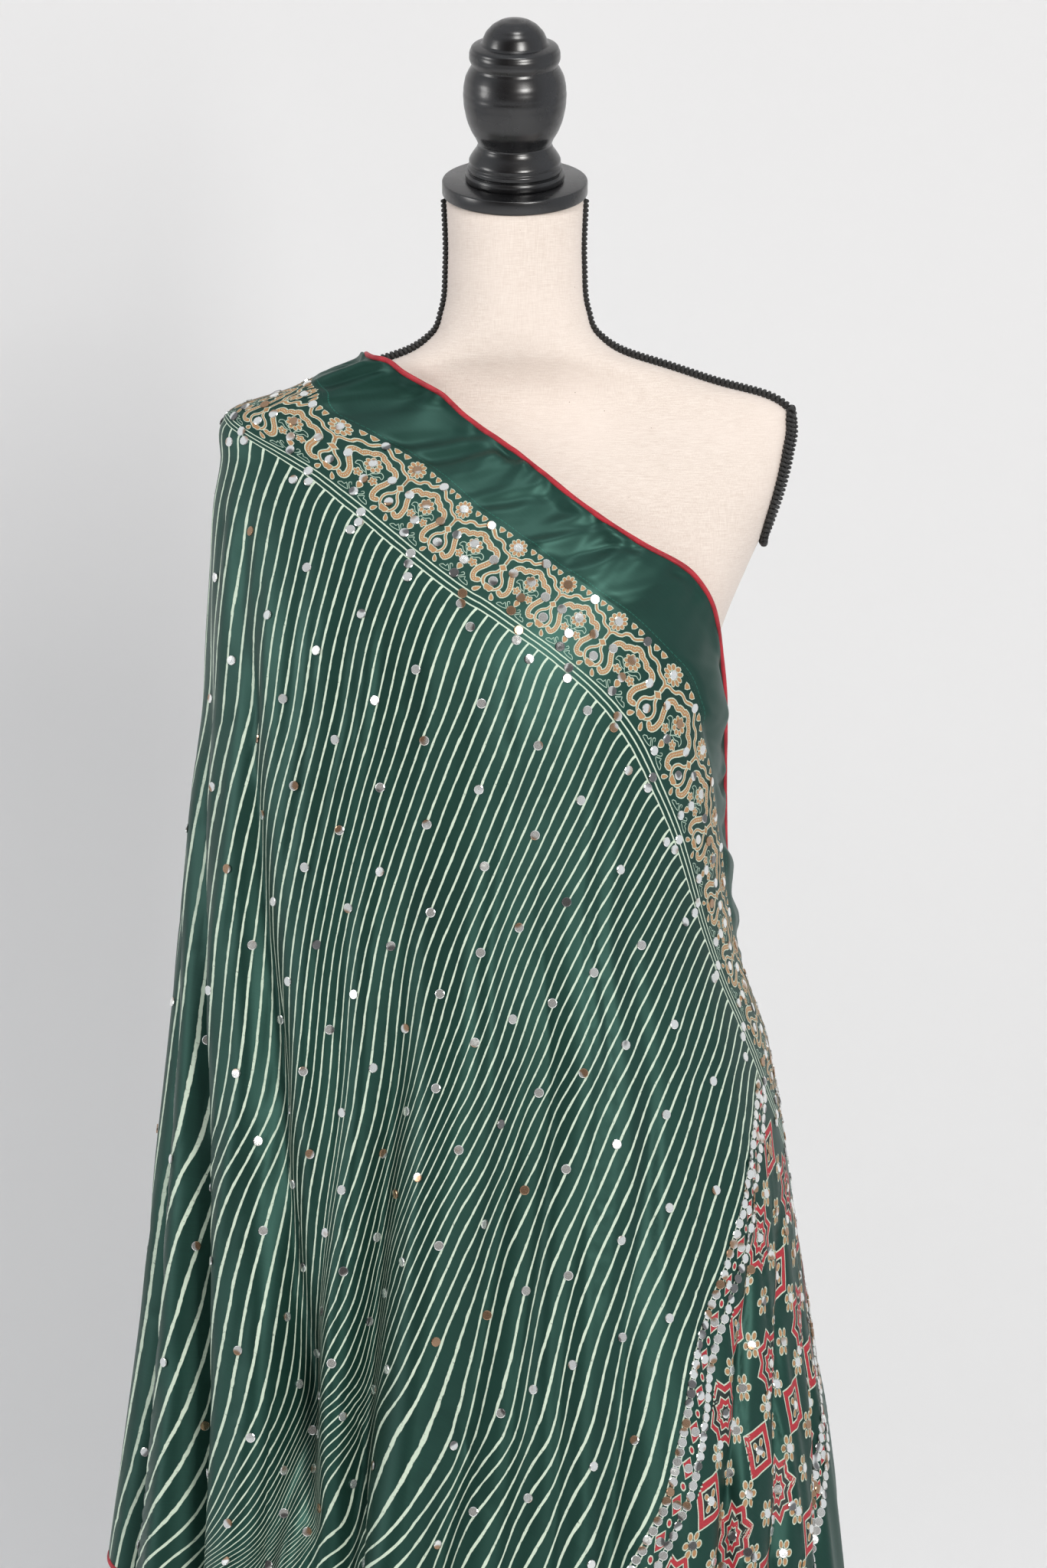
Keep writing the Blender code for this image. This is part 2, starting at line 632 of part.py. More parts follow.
def add_braid(name, on, out, seat, closed=False):
    path = on + out * (BRAID_HALF_THICK * math.cos(math.pi / 4) + seat)
    add_cord(name, path, out, BRAID_HALF_THICK, BRAID_HALF_WIDTH, "black_braid", closed=closed)


def add_braids():
    """Gimp braid down both sides of the neck, along the open shoulder and round its armhole."""
    for side, name in ((1, "right"), (-1, "left")):
        rows = [z for z in named(TORSO, 0) if BRAID_ENDS[name] < z < BRAID_TOP]
        run = np.array([BRAID_TOP] + rows[::-1] + [BRAID_ENDS[name]])
        add_braid("form_braid_" + name, *side_seam(side, run), BRAID_SEAT)
    turn = np.linspace(0, 2 * math.pi, 28, endpoint=False)
    z = ARMHOLE_MIDDLE + ARMHOLE_HALF_HEIGHT * np.cos(turn)
    angle = math.radians(ARMHOLE_HALF_ANGLE) * np.sin(turn)
    on = torso_point(angle, z)
    out = on - torso_point(angle, z, stand=-0.01)
    add_braid("form_braid_armhole", on, out / np.linalg.norm(out, axis=1)[:, None], ARMHOLE_SEAT, closed=True)


add_torso()
add_stand()
add_braids()
add_skirt()
add_pleats()
add_saree()
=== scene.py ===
"""Looks of the draped ajrakh saree and its dress form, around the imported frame.

Heights in the tables are measured from a datum STAND_LIFT above the floor.
The cloth has its own coordinates: s runs along its length from the end of the
loose panel, v runs across its width from the piped upper edge, both in metres.
The print is drawn in millimetres of those coordinates.
"""

import math

import bpy
import numpy as np
from mathutils import Matrix, Vector


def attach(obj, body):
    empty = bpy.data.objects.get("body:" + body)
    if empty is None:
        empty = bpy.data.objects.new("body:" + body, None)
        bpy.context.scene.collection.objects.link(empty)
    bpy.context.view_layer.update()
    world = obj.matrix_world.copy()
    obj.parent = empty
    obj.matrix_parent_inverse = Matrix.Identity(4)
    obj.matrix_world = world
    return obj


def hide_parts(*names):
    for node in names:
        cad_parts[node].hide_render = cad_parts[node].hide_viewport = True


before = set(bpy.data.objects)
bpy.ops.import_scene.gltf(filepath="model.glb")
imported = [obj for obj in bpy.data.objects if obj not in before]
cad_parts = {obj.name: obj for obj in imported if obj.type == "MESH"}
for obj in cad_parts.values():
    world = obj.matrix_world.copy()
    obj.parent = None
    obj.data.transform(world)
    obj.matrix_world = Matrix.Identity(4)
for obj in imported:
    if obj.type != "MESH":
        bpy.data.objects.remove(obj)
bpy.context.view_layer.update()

# Driving sizes, in metres and degrees
STAND_LIFT = 0.08
CLOTH_WIDTH = 0.93
BAND_WIDTH = 0.047
BORDER_WIDTH = 0.108
PIPING_RADIUS = 0.0016
CORD_RADIUS = 0.0019
SWEEP_END = 1.60
SHOULDER_S = 1.035
PANEL_START = 0.40
SECTION_POWER = 2.2
PANEL_STAND = 0.006
SWEEP_SINK = 0.011
NECK_TILT = math.radians(18)
MM = 0.001

# Outer drape: z, left x, right x, front depth, back depth
DRAPE = (
    (-0.080, -0.350, 0.300, 0.240, 0.236),
    (0.300, -0.316, 0.262, 0.212, 0.210),
    (0.540, -0.290, 0.233, 0.191, 0.186),
    (0.600, -0.281, 0.226, 0.184, 0.178),
    (0.700, -0.268, 0.208, 0.172, 0.164),
    (0.800, -0.259, 0.193, 0.160, 0.148),
    (0.900, -0.248, 0.177, 0.150, 0.130),
    (1.000, -0.240, 0.150, 0.143, 0.116),
    (1.080, -0.231, 0.148, 0.141, 0.112),
    (1.150, -0.2205, 0.149, 0.142, 0.113),
    (1.207, -0.217, 0.153, 0.136, 0.115),
    (1.250, -0.214, 0.172, 0.120, 0.113),
    (1.290, -0.211, 0.191, 0.098, 0.104),
    (1.3185, -0.2065, 0.201, 0.077, 0.087),
    (1.3460, -0.2050, 0.202, 0.054, 0.066),
    (1.3543, -0.1990, 0.196, 0.047, 0.058),
    (1.3606, -0.1852, 0.186, 0.043, 0.050),
    (1.3670, -0.1635, 0.167, 0.042, 0.046),
    (1.3745, -0.1455, 0.142, 0.043, 0.046),
    (1.3825, -0.1290, 0.113, 0.046, 0.048),
    (1.3950, -0.1000, 0.072, 0.050, 0.050),
)

# Printed border: s, then angle and z of its inner edge, then angle and z of the piped edge
BORDER = (
    (0.000, -24.0, 0.660, -52.0, 0.712),
    (0.100, -15.0, 0.722, -44.0, 0.770),
    (0.200, -6.0, 0.780, -36.0, 0.825),
    (0.300, 5.0, 0.838, -27.0, 0.880),
    (0.400, 17.5, 0.894, -18.0, 0.932),
    (0.455, 23.5, 0.945, -12.5, 0.985),
    (0.501, 27.0, 0.988, -8.0, 1.030),
    (0.538, 32.0, 1.024, -3.5, 1.069),
    (0.575, 38.5, 1.060, 1.5, 1.108),
    (0.612, 46.0, 1.095, 8.0, 1.151),
    (0.648, 53.5, 1.129, 20.0, 1.202),
    (0.685, 62.5, 1.160, 41.0, 1.242),
    (0.727, 73.0, 1.188, 60.0, 1.266),
    (0.777, 85.0, 1.2140, 75.0, 1.291),
    (0.823, 96.0, 1.2385, 85.8, 1.3165),
    (0.869, 107.5, 1.2645, 93.5, 1.3400),
    (0.915, 120.0, 1.2910, 105.5, 1.3655),
    (0.957, 134.0, 1.3145, 131.0, 1.3870),
    (1.000, 157.0, 1.3385, 158.0, 1.3920),
    (1.035, 180.0, 1.3485, 180.0, 1.3932),
    (1.070, 203.0, 1.3390, 202.0, 1.3913),
    (1.113, 226.0, 1.3150, 228.0, 1.3850),
    (1.160, 240.0, 1.2900, 250.0, 1.3670),
    (1.247, 262.0, 1.240, 272.0, 1.318),
    (1.340, 284.0, 1.188, 296.0, 1.266),
    (1.420, 303.0, 1.128, 322.0, 1.205),
    (1.500, 319.0, 1.050, 345.0, 1.110),
    (1.600, 337.0, 0.955, 366.0, 1.005),
)

# Where the loose panel's cross band and its free end hang: z, band angle, end angle
PANEL_LINES = (
    (-0.080, 102.0, 52.0),
    (0.150, 95.0, 38.0),
    (0.300, 87.0, 25.0),
    (0.450, 76.0, 10.0),
    (0.569, 66.8, -3.0),
    (0.613, 60.5, -11.0),
    (0.669, 55.0, -26.0),
    (0.715, 50.5, -34.0),
    (0.783, 38.0, -44.0),
    (0.844, 27.0, -50.0),
    (0.894, 17.5, -54.0),
)

# The cloth's s at the left of the drape: z, s
LEFT_LINE = ((-0.08, 1.020), (0.60, 1.030), (1.348, 1.035))

# Where stripes of the front hang: their s, then the angle at two heights
COURSE_HEIGHTS = (0.600, 0.960)
FIRM_COURSES = (
    (0.538, 94.5, 52.0),
    (0.575, 104.5, 63.0),
    (0.612, 113.5, 72.0),
    (0.869, 132.0, 120.5),
    (0.957, 156.5, 144.0),
)
LOOSE_COURSES = (
    (0.648, 115.0, 80.5),
    (0.685, 116.3, 87.0),
    (0.727, 117.5, 94.0),
    (0.777, 119.0, 104.0),
    (0.823, 122.0, 112.5),
)
# Above the hem the courses ease into the natural spread between these two drops from the border
COURSES_EASE = (0.58, 0.765)
# The loose courses let go between these heights
LOOSE_HOLD = (0.62, 0.94)

# A fold this deep packs this much more cloth into a valley of this half width
DEEP_FOLD = 0.03
PACKED = 3.0
VALLEY_HALF = 0.006
USUAL_RADIUS = 0.22

# How much cloth goes into one metre of drop, and what the panel adds and the shoulder takes off
FIELD_SLACK = 1.08
PANEL_SLACK = 0.12
SHOULDER_SLACK = 0.06
# How much the border bows on the shoulder's ridge, and how far down the field follows its angle
RIDGE_BEND = 0.23
BORDER_EASE = 0.05

# Folds of the drape: depth, half width, then z and angle at three heights, top first
FOLDS = (
    (0.030, 0.016, 1.290, 151.0, 1.000, 131.0, 0.590, 116.5),
    (0.022, 0.014, 1.080, 109.0, 0.860, 112.5, 0.560, 124.0),
    (0.040, 0.015, 1.080, 95.0, 0.830, 103.0, 0.570, 109.0),
    (0.024, 0.016, 1.020, 73.5, 0.820, 84.5, 0.570, 94.0),
    (0.015, 0.014, 1.080, 67.5, 0.830, 78.5, 0.570, 87.0),
    (0.011, 0.013, 0.960, 61.0, 0.780, 73.0, 0.570, 80.0),
    (0.012, 0.014, 0.930, 51.0, 0.760, 63.0, 0.570, 70.5),
    (0.010, 0.009, 0.840, 24.0, 0.700, 40.0, 0.560, 50.0),
    (0.010, 0.009, 0.820, 12.0, 0.700, 27.0, 0.560, 37.0),
    (0.010, 0.009, 0.800, 0.0, 0.680, 12.0, 0.560, 21.0),
    (0.010, 0.010, 0.740, -16.0, 0.640, -8.0, 0.500, 6.0),
    (0.034, 0.017, 1.260, 172.0, 0.900, 152.0, 0.560, 141.0),
    (0.036, 0.018, 1.250, 186.0, 0.900, 172.0, 0.560, 164.0),
    (0.034, 0.018, 1.250, 200.0, 0.900, 194.0, 0.560, 188.0),
    (0.034, 0.018, 1.230, 216.0, 0.900, 212.0, 0.560, 208.0),
    (0.028, 0.017, 1.200, 232.0, 0.900, 230.0, 0.560, 226.0),
    (0.020, 0.016, 1.140, 246.0, 0.880, 247.0, 0.560, 244.0),
    (0.015, 0.016, 1.080, 262.0, 0.860, 263.0, 0.560, 261.0),
    (0.013, 0.015, 1.020, 279.0, 0.840, 279.0, 0.560, 277.0),
    (0.012, 0.015, 0.960, 296.0, 0.800, 295.0, 0.560, 293.0),
    (0.010, 0.014, 0.920, 313.0, 0.780, 311.0, 0.560, 309.0),
    (0.008, 0.013, 0.880, 328.0, 0.760, 327.0, 0.560, 325.0),
)

# Dress form: z, half width, front depth, back depth
TORSO = (
    (0.690, 0.126, 0.086, 0.094),
    (0.700, 0.138, 0.094, 0.104),
    (0.725, 0.146, 0.098, 0.110),
    (0.800, 0.148, 0.100, 0.113),
    (0.870, 0.142, 0.097, 0.106),
    (0.940, 0.129, 0.092, 0.094),
    (1.000, 0.119, 0.088, 0.084),
    (1.060, 0.120, 0.095, 0.083),
    (1.130, 0.134, 0.115, 0.090),
    (1.185, 0.140, 0.118, 0.096),
    (1.207, 0.147, 0.113, 0.098),
    (1.245, 0.163, 0.100, 0.100),
    (1.275, 0.1765, 0.088, 0.098),
    (1.299, 0.1855, 0.079, 0.091),
    (1.3235, 0.1915, 0.061, 0.076),
    (1.3450, 0.1930, 0.043, 0.055),
    (1.3540, 0.1895, 0.037, 0.046),
    (1.3629, 0.1740, 0.034, 0.040),
    (1.3711, 0.1430, 0.034, 0.038),
    (1.3822, 0.1088, 0.038, 0.040),
    (1.3925, 0.0765, 0.0445, 0.0445),
    (1.4055, 0.0575, 0.0480, 0.0480),
    (1.4230, 0.0500, 0.0485, 0.0485),
    (1.4560, 0.0468, 0.0480, 0.0480),
    (1.5045, 0.0480, 0.0480, 0.0480),
)
TILT_FROM = 1.415
TORSO_COLUMNS = 160

# Wrapped skirt under the drape: z, half width, front depth, back depth
SKIRT = (
    (-0.065, 0.250, 0.176, 0.205),
    (0.100, 0.232, 0.164, 0.190),
    (0.300, 0.212, 0.148, 0.172),
    (0.500, 0.194, 0.134, 0.156),
    (0.700, 0.171, 0.120, 0.138),
    (0.800, 0.159, 0.114, 0.126),
    (0.880, 0.150, 0.109, 0.115),
    (0.950, 0.136, 0.103, 0.102),
    (1.010, 0.1238, 0.0948, 0.0896),
)
SKIRT_WAVES = 22
SKIRT_WAVE_TOP = 0.0012
SKIRT_WAVE_HEM = 0.0095
SKIRT_S = 2.0
SKIRT_ROWS = 120
PLEATS = 7
PLEAT_TOP = 1.000
PLEAT_PHASES = (0.0, 0.25, 0.5, 0.75, 1.0)
PLEAT_HEIGHTS = (0.0, 0.95, 0.75, 0.35, 0.0)
PLEAT_FROM = 66.0
PLEAT_TO = 108.0
PLEAT_STAND = 0.0015
PLEAT_DEPTH_TOP = 0.0045
PLEAT_DEPTH_HEM = 0.0110

# Turned parts of the stand, as radius and height pairs
FINIAL = (
    (0.0340, 0.0003), (0.0345, 0.0014), (0.0345, 0.0050), (0.0339, 0.0062), (0.0323, 0.0066),
    (0.0329, 0.0078), (0.0329, 0.0104), (0.0317, 0.0120), (0.0320, 0.0142), (0.0308, 0.0172),
    (0.0286, 0.0206), (0.0262, 0.0248), (0.0262, 0.0282), (0.0289, 0.0336), (0.0318, 0.0396),
    (0.0345, 0.0490), (0.0357, 0.0584), (0.0357, 0.0644), (0.0349, 0.0710), (0.0332, 0.0766),
    (0.0305, 0.0814), (0.0299, 0.0832), (0.0311, 0.0860), (0.0316, 0.0900), (0.0306, 0.0942),
    (0.0284, 0.0967), (0.0238, 0.0980), (0.0228, 0.0992), (0.0211, 0.1038), (0.0179, 0.1083),
    (0.0131, 0.1123), (0.0070, 0.1148), (0.0, 0.1158),
)
CAP_RADIUS = 0.0508
CAP_THICK = 0.0102
CAP_ROUND = 0.0012
BASE = (
    (0.153, 0.0), (0.155, 0.004), (0.155, 0.015), (0.149, 0.021), (0.125, 0.026),
    (0.060, 0.034), (0.040, 0.042), (0.030, 0.060), (0.026, 0.075), (0.0, 0.075),
)
TURNED_STEPS = 96
BRAID_TOP = 1.5005
BRAID_ENDS = {"right": 1.3490, "left": 1.3827}
ARMHOLE_MIDDLE = 1.3080
ARMHOLE_HALF_HEIGHT = 0.0445
ARMHOLE_HALF_ANGLE = 12.0

random = np.random.default_rng(11)


# Curves through the tables
def column_of(rows, column):
    return np.array([row[column] for row in rows])


def smooth_at(x, xs, ys):
    """A smooth curve through the points of a table, with no overshoot at the ends."""
    x = np.clip(x, xs[0], xs[-1])
    slope = np.gradient(ys, xs)
    i = np.clip(np.searchsorted(xs, x) - 1, 0, len(xs) - 2)
    span = xs[i + 1] - xs[i]
    t = (x - xs[i]) / span
    a = (1 + 2 * t) * (1 - t) ** 2
    b = t * (1 - t) ** 2
    c = t * t * (3 - 2 * t)
    d = t * t * (t - 1)
    return a * ys[i] + b * span * slope[i] + c * ys[i + 1] + d * span * slope[i + 1]


def column_at(z, rows, column):
    return smooth_at(z, column_of(rows, 0), column_of(rows, column))


def smoothstep(x, low, high):
    t = np.clip((x - low) / (high - low), 0.0, 1.0)
    return t * t * (3 - 2 * t)


def unit(vectors):
    """The same vectors, each with a length of one."""
    return vectors / np.linalg.norm(vectors, axis=-1)[..., None]


def value_noise(x, y, seed):
    """Smooth random values between -1 and 1, a cell of the noise being one unit."""
    size = 64
    lattice = np.random.default_rng(seed).uniform(-1, 1, (size, size))
    i, j = np.floor(x).astype(int), np.floor(y).astype(int)
    fx, fy = x - i, y - j
    fx, fy = fx * fx * (3 - 2 * fx), fy * fy * (3 - 2 * fy)

    def row(j):
        return lattice[i % size, j % size] * (1 - fx) + lattice[(i + 1) % size, j % size] * fx

    return row(j) * (1 - fy) + row(j + 1) * fy


# The draped surface
def superellipse(angle, centre, half, front, back, power=SECTION_POWER):
    """A point and the outward normal of one level section; the front is at 90 degrees."""
    c = np.cos(angle)
    s = np.sin(angle)
    depth = np.where(s > 0, front, back)
    x = centre + half * np.sign(c) * np.abs(c) ** (2 / power)
    y = -depth * np.sign(s) * np.abs(s) ** (2 / power)
    nx = np.sign(c) * np.abs(c) ** (2 - 2 / power) / half
    ny = -np.sign(s) * np.abs(s) ** (2 - 2 / power) / depth
    size = np.hypot(nx, ny)
    return x, y, nx / size, ny / size


def columns_at(z, rows):
    """Every column of a table after its first, read at a height."""
    return [column_at(z, rows, k) for k in range(1, len(rows[0]))]


def drape_section(angle, z):
    left, right, front, back = columns_at(z, DRAPE)
    x, y, nx, ny = superellipse(angle, (left + right) / 2, (right - left) / 2, front, back)
    # The loose panel hangs over the sweep's start, so one lies outside the other
    degrees = np.degrees(angle)
    outer = PANEL_STAND * (1 - smoothstep(degrees, -20, 25))
    inner = SWEEP_SINK * smoothstep(degrees, 275, 318) * (1 - smoothstep(z, 1.05, 1.15))
    layer = outer * (1 - smoothstep(z, 1.0, 1.1)) - inner
    return x + nx * layer, y + ny * layer, nx, ny


def folds_at(angle, z):
    """For each fold its depth, half width, angle away from its middle, and how far it has opened."""
    for depth, width, z0, a0, z1, a1, z2, a2 in FOLDS:
        middle = smooth_at(z, np.array([z2, z1, z0]), np.array([a2, a1, a0]))
        width = width * (0.75 + 0.25 * smoothstep(-z, -z0, -z2))
        yield depth, width, angle - np.radians(middle), smoothstep(-z, -z0 - 0.03, -z2)


def fold_depth(angle, z):
    """How far the folds sink the drape at an angle and a height."""
    sunk = np.zeros(np.broadcast(angle, z).shape)
    left, right, front, _ = columns_at(z, DRAPE)
    radius = 0.5 * (right - left) * 0.5 + 0.5 * front
    for depth, width, away, opened in folds_at(angle, z):
        sunk = sunk + depth * opened ** 0.8 * np.exp(-np.abs(away * radius / width) ** 1.7)
    return sunk


def drape_point(angle, z):
    x, y, nx, ny = drape_section(angle, z)
    sunk = fold_depth(angle, z)
    return x - nx * sunk, y - ny * sunk


# The steps of height, angle and s that the table of angles is worked out for
ROW_Z = np.arange(-0.080, 1.4001, 0.008)
ROW_DEGREES = np.arange(-80.0, 372.0, 1.0)
S_STEPS = np.arange(0.0, SWEEP_END + 0.0001, 0.004)
LEFT_DEGREES = 180.0
SWEEP_END_DEGREES = 337.0
LEAST_STEP = 0.004


def edge_curve(column):
    return lambda s: smooth_at(s, column_of(BORDER, 0), column_of(BORDER, column))


INNER_DEG, INNER_Z, PIPED_DEG, PIPED_Z = (edge_curve(k) for k in (1, 2, 3, 4))


def row_anchors(z):
    """Known (angle, s) pairs of one level row, from the free end round to the sweep's end."""
    s = np.linspace(0, SHOULDER_S, 500)
    front_z = INNER_Z(s)
    anchors = []
    if z > front_z[0]:
        first = np.interp(z, front_z, s)
        anchors.append((float(INNER_DEG(first)), first))
    else:
        anchors.append((float(column_at(z, PANEL_LINES, 2)), 0.0))
    band_z = float(INNER_Z(PANEL_START))
    if z < band_z - LEAST_STEP:
        anchors.append((float(column_at(z, PANEL_LINES, 1)), PANEL_START))
    left = float(np.interp(z, column_of(LEFT_LINE, 0), column_of(LEFT_LINE, 1)))
    if left > anchors[-1][1] + LEAST_STEP:
        anchors.append((LEFT_DEGREES, left))
    s = np.linspace(SHOULDER_S, SWEEP_END, 400)
    back_z = INNER_Z(s)
    if z > back_z[-1]:
        last = np.interp(-z, -back_z, s)
        degrees = max(float(INNER_DEG(last)), LEFT_DEGREES + 1.0)
        anchors.append((degrees, max(last, anchors[-1][1] + LEAST_STEP)))
    else:
        anchors.append((SWEEP_END_DEGREES, SWEEP_END))
    return anchors


def with_courses(z, anchors, natural, courses, hold):
    """Adds known stripes to a row's anchors, easing into the natural spread above the hem."""
    left = next((s for degrees, s in anchors if degrees == LEFT_DEGREES), SWEEP_END)
    added = []
    for s, low, high in courses:
        top = float(INNER_Z(s))
        if z > top - LEAST_STEP or s < anchors[0][1] + LEAST_STEP or s > left - LEAST_STEP:
            continue
        heights = np.array([*COURSE_HEIGHTS, top])
        known = float(smooth_at(z, heights, np.array([low, high, float(INNER_DEG(s))])))
        known += (high - low) / (heights[1] - heights[0]) * min(z - heights[0], 0.0)
        share = hold * (1 - float(smoothstep(top - z, *COURSES_EASE)))
        added.append((known * share + float(np.interp(s, S_STEPS, natural)) * (1 - share), s))
    kept = []
    for degrees, s in sorted(anchors + added, key=lambda pair: pair[1]):
        if not kept or (degrees > kept[-1][0] + 0.3 and s > kept[-1][1] + 0.001):
            kept.append((degrees, s))
    return kept


def row_angles(anchors, length):
    """The angle of each step of s along one level row through its anchors."""
    at = np.interp([a for a, _ in anchors], ROW_DEGREES, length)
    known = np.array([value for _, value in anchors])
    run = np.interp(S_STEPS, known, at)
    low, high = S_STEPS < known[0], S_STEPS > known[-1]
    weights = np.array([1, 2, 3, 4, 5, 4, 3, 2, 1]) / 25.0
    soft = np.convolve(np.pad(run, 4, mode="edge"), weights, mode="valid")
    inner = (S_STEPS > known[0] + 0.02) & (S_STEPS < known[-1] - 0.02)
    run[inner] = soft[inner]
    run[low] = at[0] - (known[0] - S_STEPS[low])
    run[high] = at[-1] + (S_STEPS[high] - known[-1])
    return np.interp(run, length, ROW_DEGREES)


def hidden_cloth(angle, z):
    """How much more cloth than its visible width lies in the narrow valley of each fold."""
    packed = np.zeros_like(angle)
    for depth, _, away, opened in folds_at(angle, z):
        packed += depth / DEEP_FOLD * opened * np.exp(-(away * USUAL_RADIUS / VALLEY_HALF) ** 2)
    return PACKED * packed


def angle_table():
    """For each level row, the angle at which each s of the cloth lies, folds included."""
    angle = np.radians(ROW_DEGREES)
    table = []
    for z in ROW_Z:
        level = np.full_like(angle, z)
        x, y = drape_point(angle, level)
        step = np.hypot(np.diff(x), np.diff(y)) * (1 + hidden_cloth(angle, level)[1:])
        length = np.concatenate([[0], np.cumsum(step)])
        anchors = row_anchors(float(z))
        # Low down the loose stripes hang as the cloth between the firm ones spreads
        loosened = float(smoothstep(z, *LOOSE_HOLD))
        for courses, hold in ((FIRM_COURSES, 1.0), (LOOSE_COURSES, loosened)):
            natural = row_angles(anchors, length)
            anchors = with_courses(float(z), anchors, natural, courses, hold)
        table.append(row_angles(anchors, length))
    return np.array(table)


ANGLES = angle_table()


def angle_of(s, z):
    """Reads the angle table between its rows and columns."""
    i = np.clip((z - ROW_Z[0]) / (ROW_Z[1] - ROW_Z[0]), 0, len(ROW_Z) - 1.001)
    j = np.clip(s / (S_STEPS[1] - S_STEPS[0]), 0, len(S_STEPS) - 1.001)
    i0, j0 = i.astype(int), j.astype(int)
    fi, fj = i - i0, j - j0
    low = ANGLES[i0, j0] * (1 - fj) + ANGLES[i0, j0 + 1] * fj
    high = ANGLES[i0 + 1, j0] * (1 - fj) + ANGLES[i0 + 1, j0 + 1] * fj
    return low * (1 - fi) + high * fi


def cloth_place(s, v):
    """The angle and height of the cloth's own point (s, v)."""
    s, v = np.broadcast_arrays(np.asarray(s, float), np.asarray(v, float))
    on_ridge = smoothstep(s, 0.90, 1.0) * (1 - smoothstep(s, 1.07, 1.17))
    share = np.clip(v / BORDER_WIDTH, 0, 1) ** (1 + RIDGE_BEND * on_ridge)
    inner_z = INNER_Z(s)
    # On the loose panel's slant a step of cloth drops less, under the shoulder more
    straight = smoothstep(s, 0.90, 0.99) * (1 - smoothstep(s, 1.04, 1.12))
    on_panel = 1 - smoothstep(s, 0.0, PANEL_START)
    slack = FIELD_SLACK + PANEL_SLACK * on_panel - SHOULDER_SLACK * straight
    drop = np.maximum(v - BORDER_WIDTH, 0) / slack
    z = np.where(v < BORDER_WIDTH, PIPED_Z(s) * (1 - share) + inner_z * share, inner_z - drop)
    within = PIPED_DEG(s) * (1 - share) + INNER_DEG(s) * share
    below = angle_of(s, z) + (INNER_DEG(s) - angle_of(s, inner_z)) * np.exp(-drop / BORDER_EASE)
    return np.radians(np.where(v < BORDER_WIDTH, within, below)), z


def cloth_point(s, v):
    angle, z = cloth_place(s, v)
    x, y = drape_point(angle, z)
    return np.stack([x, y, z + STAND_LIFT], axis=-1)


def puckers(s, v):
    """Small gathers that the piping draws into the plain band, and soft creases of the field."""
    off_edge = smoothstep(v, 0.0004, 0.005)
    near_edge = np.exp(-v / 0.012) * off_edge + 0.5 * np.exp(-v / 0.026) * off_edge
    small = value_noise(s / 0.0085, v / 0.030, 3)
    large = value_noise(s / 0.017, v / 0.06, 5)
    gathers = near_edge * (small + 1.3 * large)
    # The band's creases run slantwise down from the piping
    in_band = smoothstep(v, 0.003, 0.013) * (1 - smoothstep(v, 0.040, 0.052))
    broad = value_noise((s - 0.7 * v) / 0.020, v / 0.070 + s / 0.2, 9)
    narrow = value_noise((s - 0.9 * v) / 0.0095, v / 0.05, 13)
    creases = in_band * (4.6 * broad + 1.7 * narrow)
    # The field's creases hang along lines that lean a little with height
    angle, z = cloth_place(s, v)
    lines = np.degrees(angle) + 14 * smoothstep(z, 0.6, 1.25)
    in_field = smoothstep(v, 0.10, 0.20)
    soft = 1.5 * value_noise(lines / 4.4, z / 0.30, 15) + 0.7 * value_noise(lines / 2.1, z / 0.16, 17)
    pinch = np.exp(-np.abs(value_noise(lines / 5.5, z / 0.45, 19)) / 0.045)
    return (1.9 * gathers + creases + in_field * (1.25 * soft - 1.6 * pinch)) * MM


class Cloth:
    """The cloth as a fine grid of points and outward normals, read between its lines."""

    def __init__(self, s, v):
        self.s, self.v = s, v
        across, down = np.meshgrid(s, v)
        self.points = cloth_point(across, down)
        self.normals = self.grid_normals()
        self.points = self.points + self.normals * puckers(across, down)[..., None]
        self.normals = self.grid_normals()

    def grid_normals(self):
        ds = np.gradient(self.points, self.s, axis=1)
        dv = np.gradient(self.points, self.v, axis=0)
        return unit(np.cross(ds, dv))

    def read(self, values, s, v):
        j = np.clip(np.searchsorted(self.s, s) - 1, 0, len(self.s) - 2)
        i = np.clip(np.searchsorted(self.v, v) - 1, 0, len(self.v) - 2)
        fj = np.clip((s - self.s[j]) / (self.s[j + 1] - self.s[j]), 0, 1)[..., None]
        fi = np.clip((v - self.v[i]) / (self.v[i + 1] - self.v[i]), 0, 1)[..., None]
        upper = values[i, j] * (1 - fj) + values[i, j + 1] * fj
        lower = values[i + 1, j] * (1 - fj) + values[i + 1, j + 1] * fj
        return upper * (1 - fi) + lower * fi

    def at(self, s, v, lift):
        """Points that stand a lift off the cloth at each s and v, and the outward normals there."""
        normal = unit(self.read(self.normals, s, v))
        return self.read(self.points, s, v) + normal * np.asarray(lift)[..., None], normal


# Meshes
def grid_faces(rows, columns, around=False, flip=False):
    """Quads of a grid of points listed row by row, closed around if the last column meets the first."""
    last = columns if around else columns - 1
    row, column = np.meshgrid(np.arange(rows - 1) * columns, np.arange(last), indexing="ij")
    after = (column + 1) % columns
    low = row + columns
    faces = np.stack((row + column, low + column, low + after, row + after), axis=-1).reshape(-1, 4)
    return faces[:, ::-1] if flip else faces


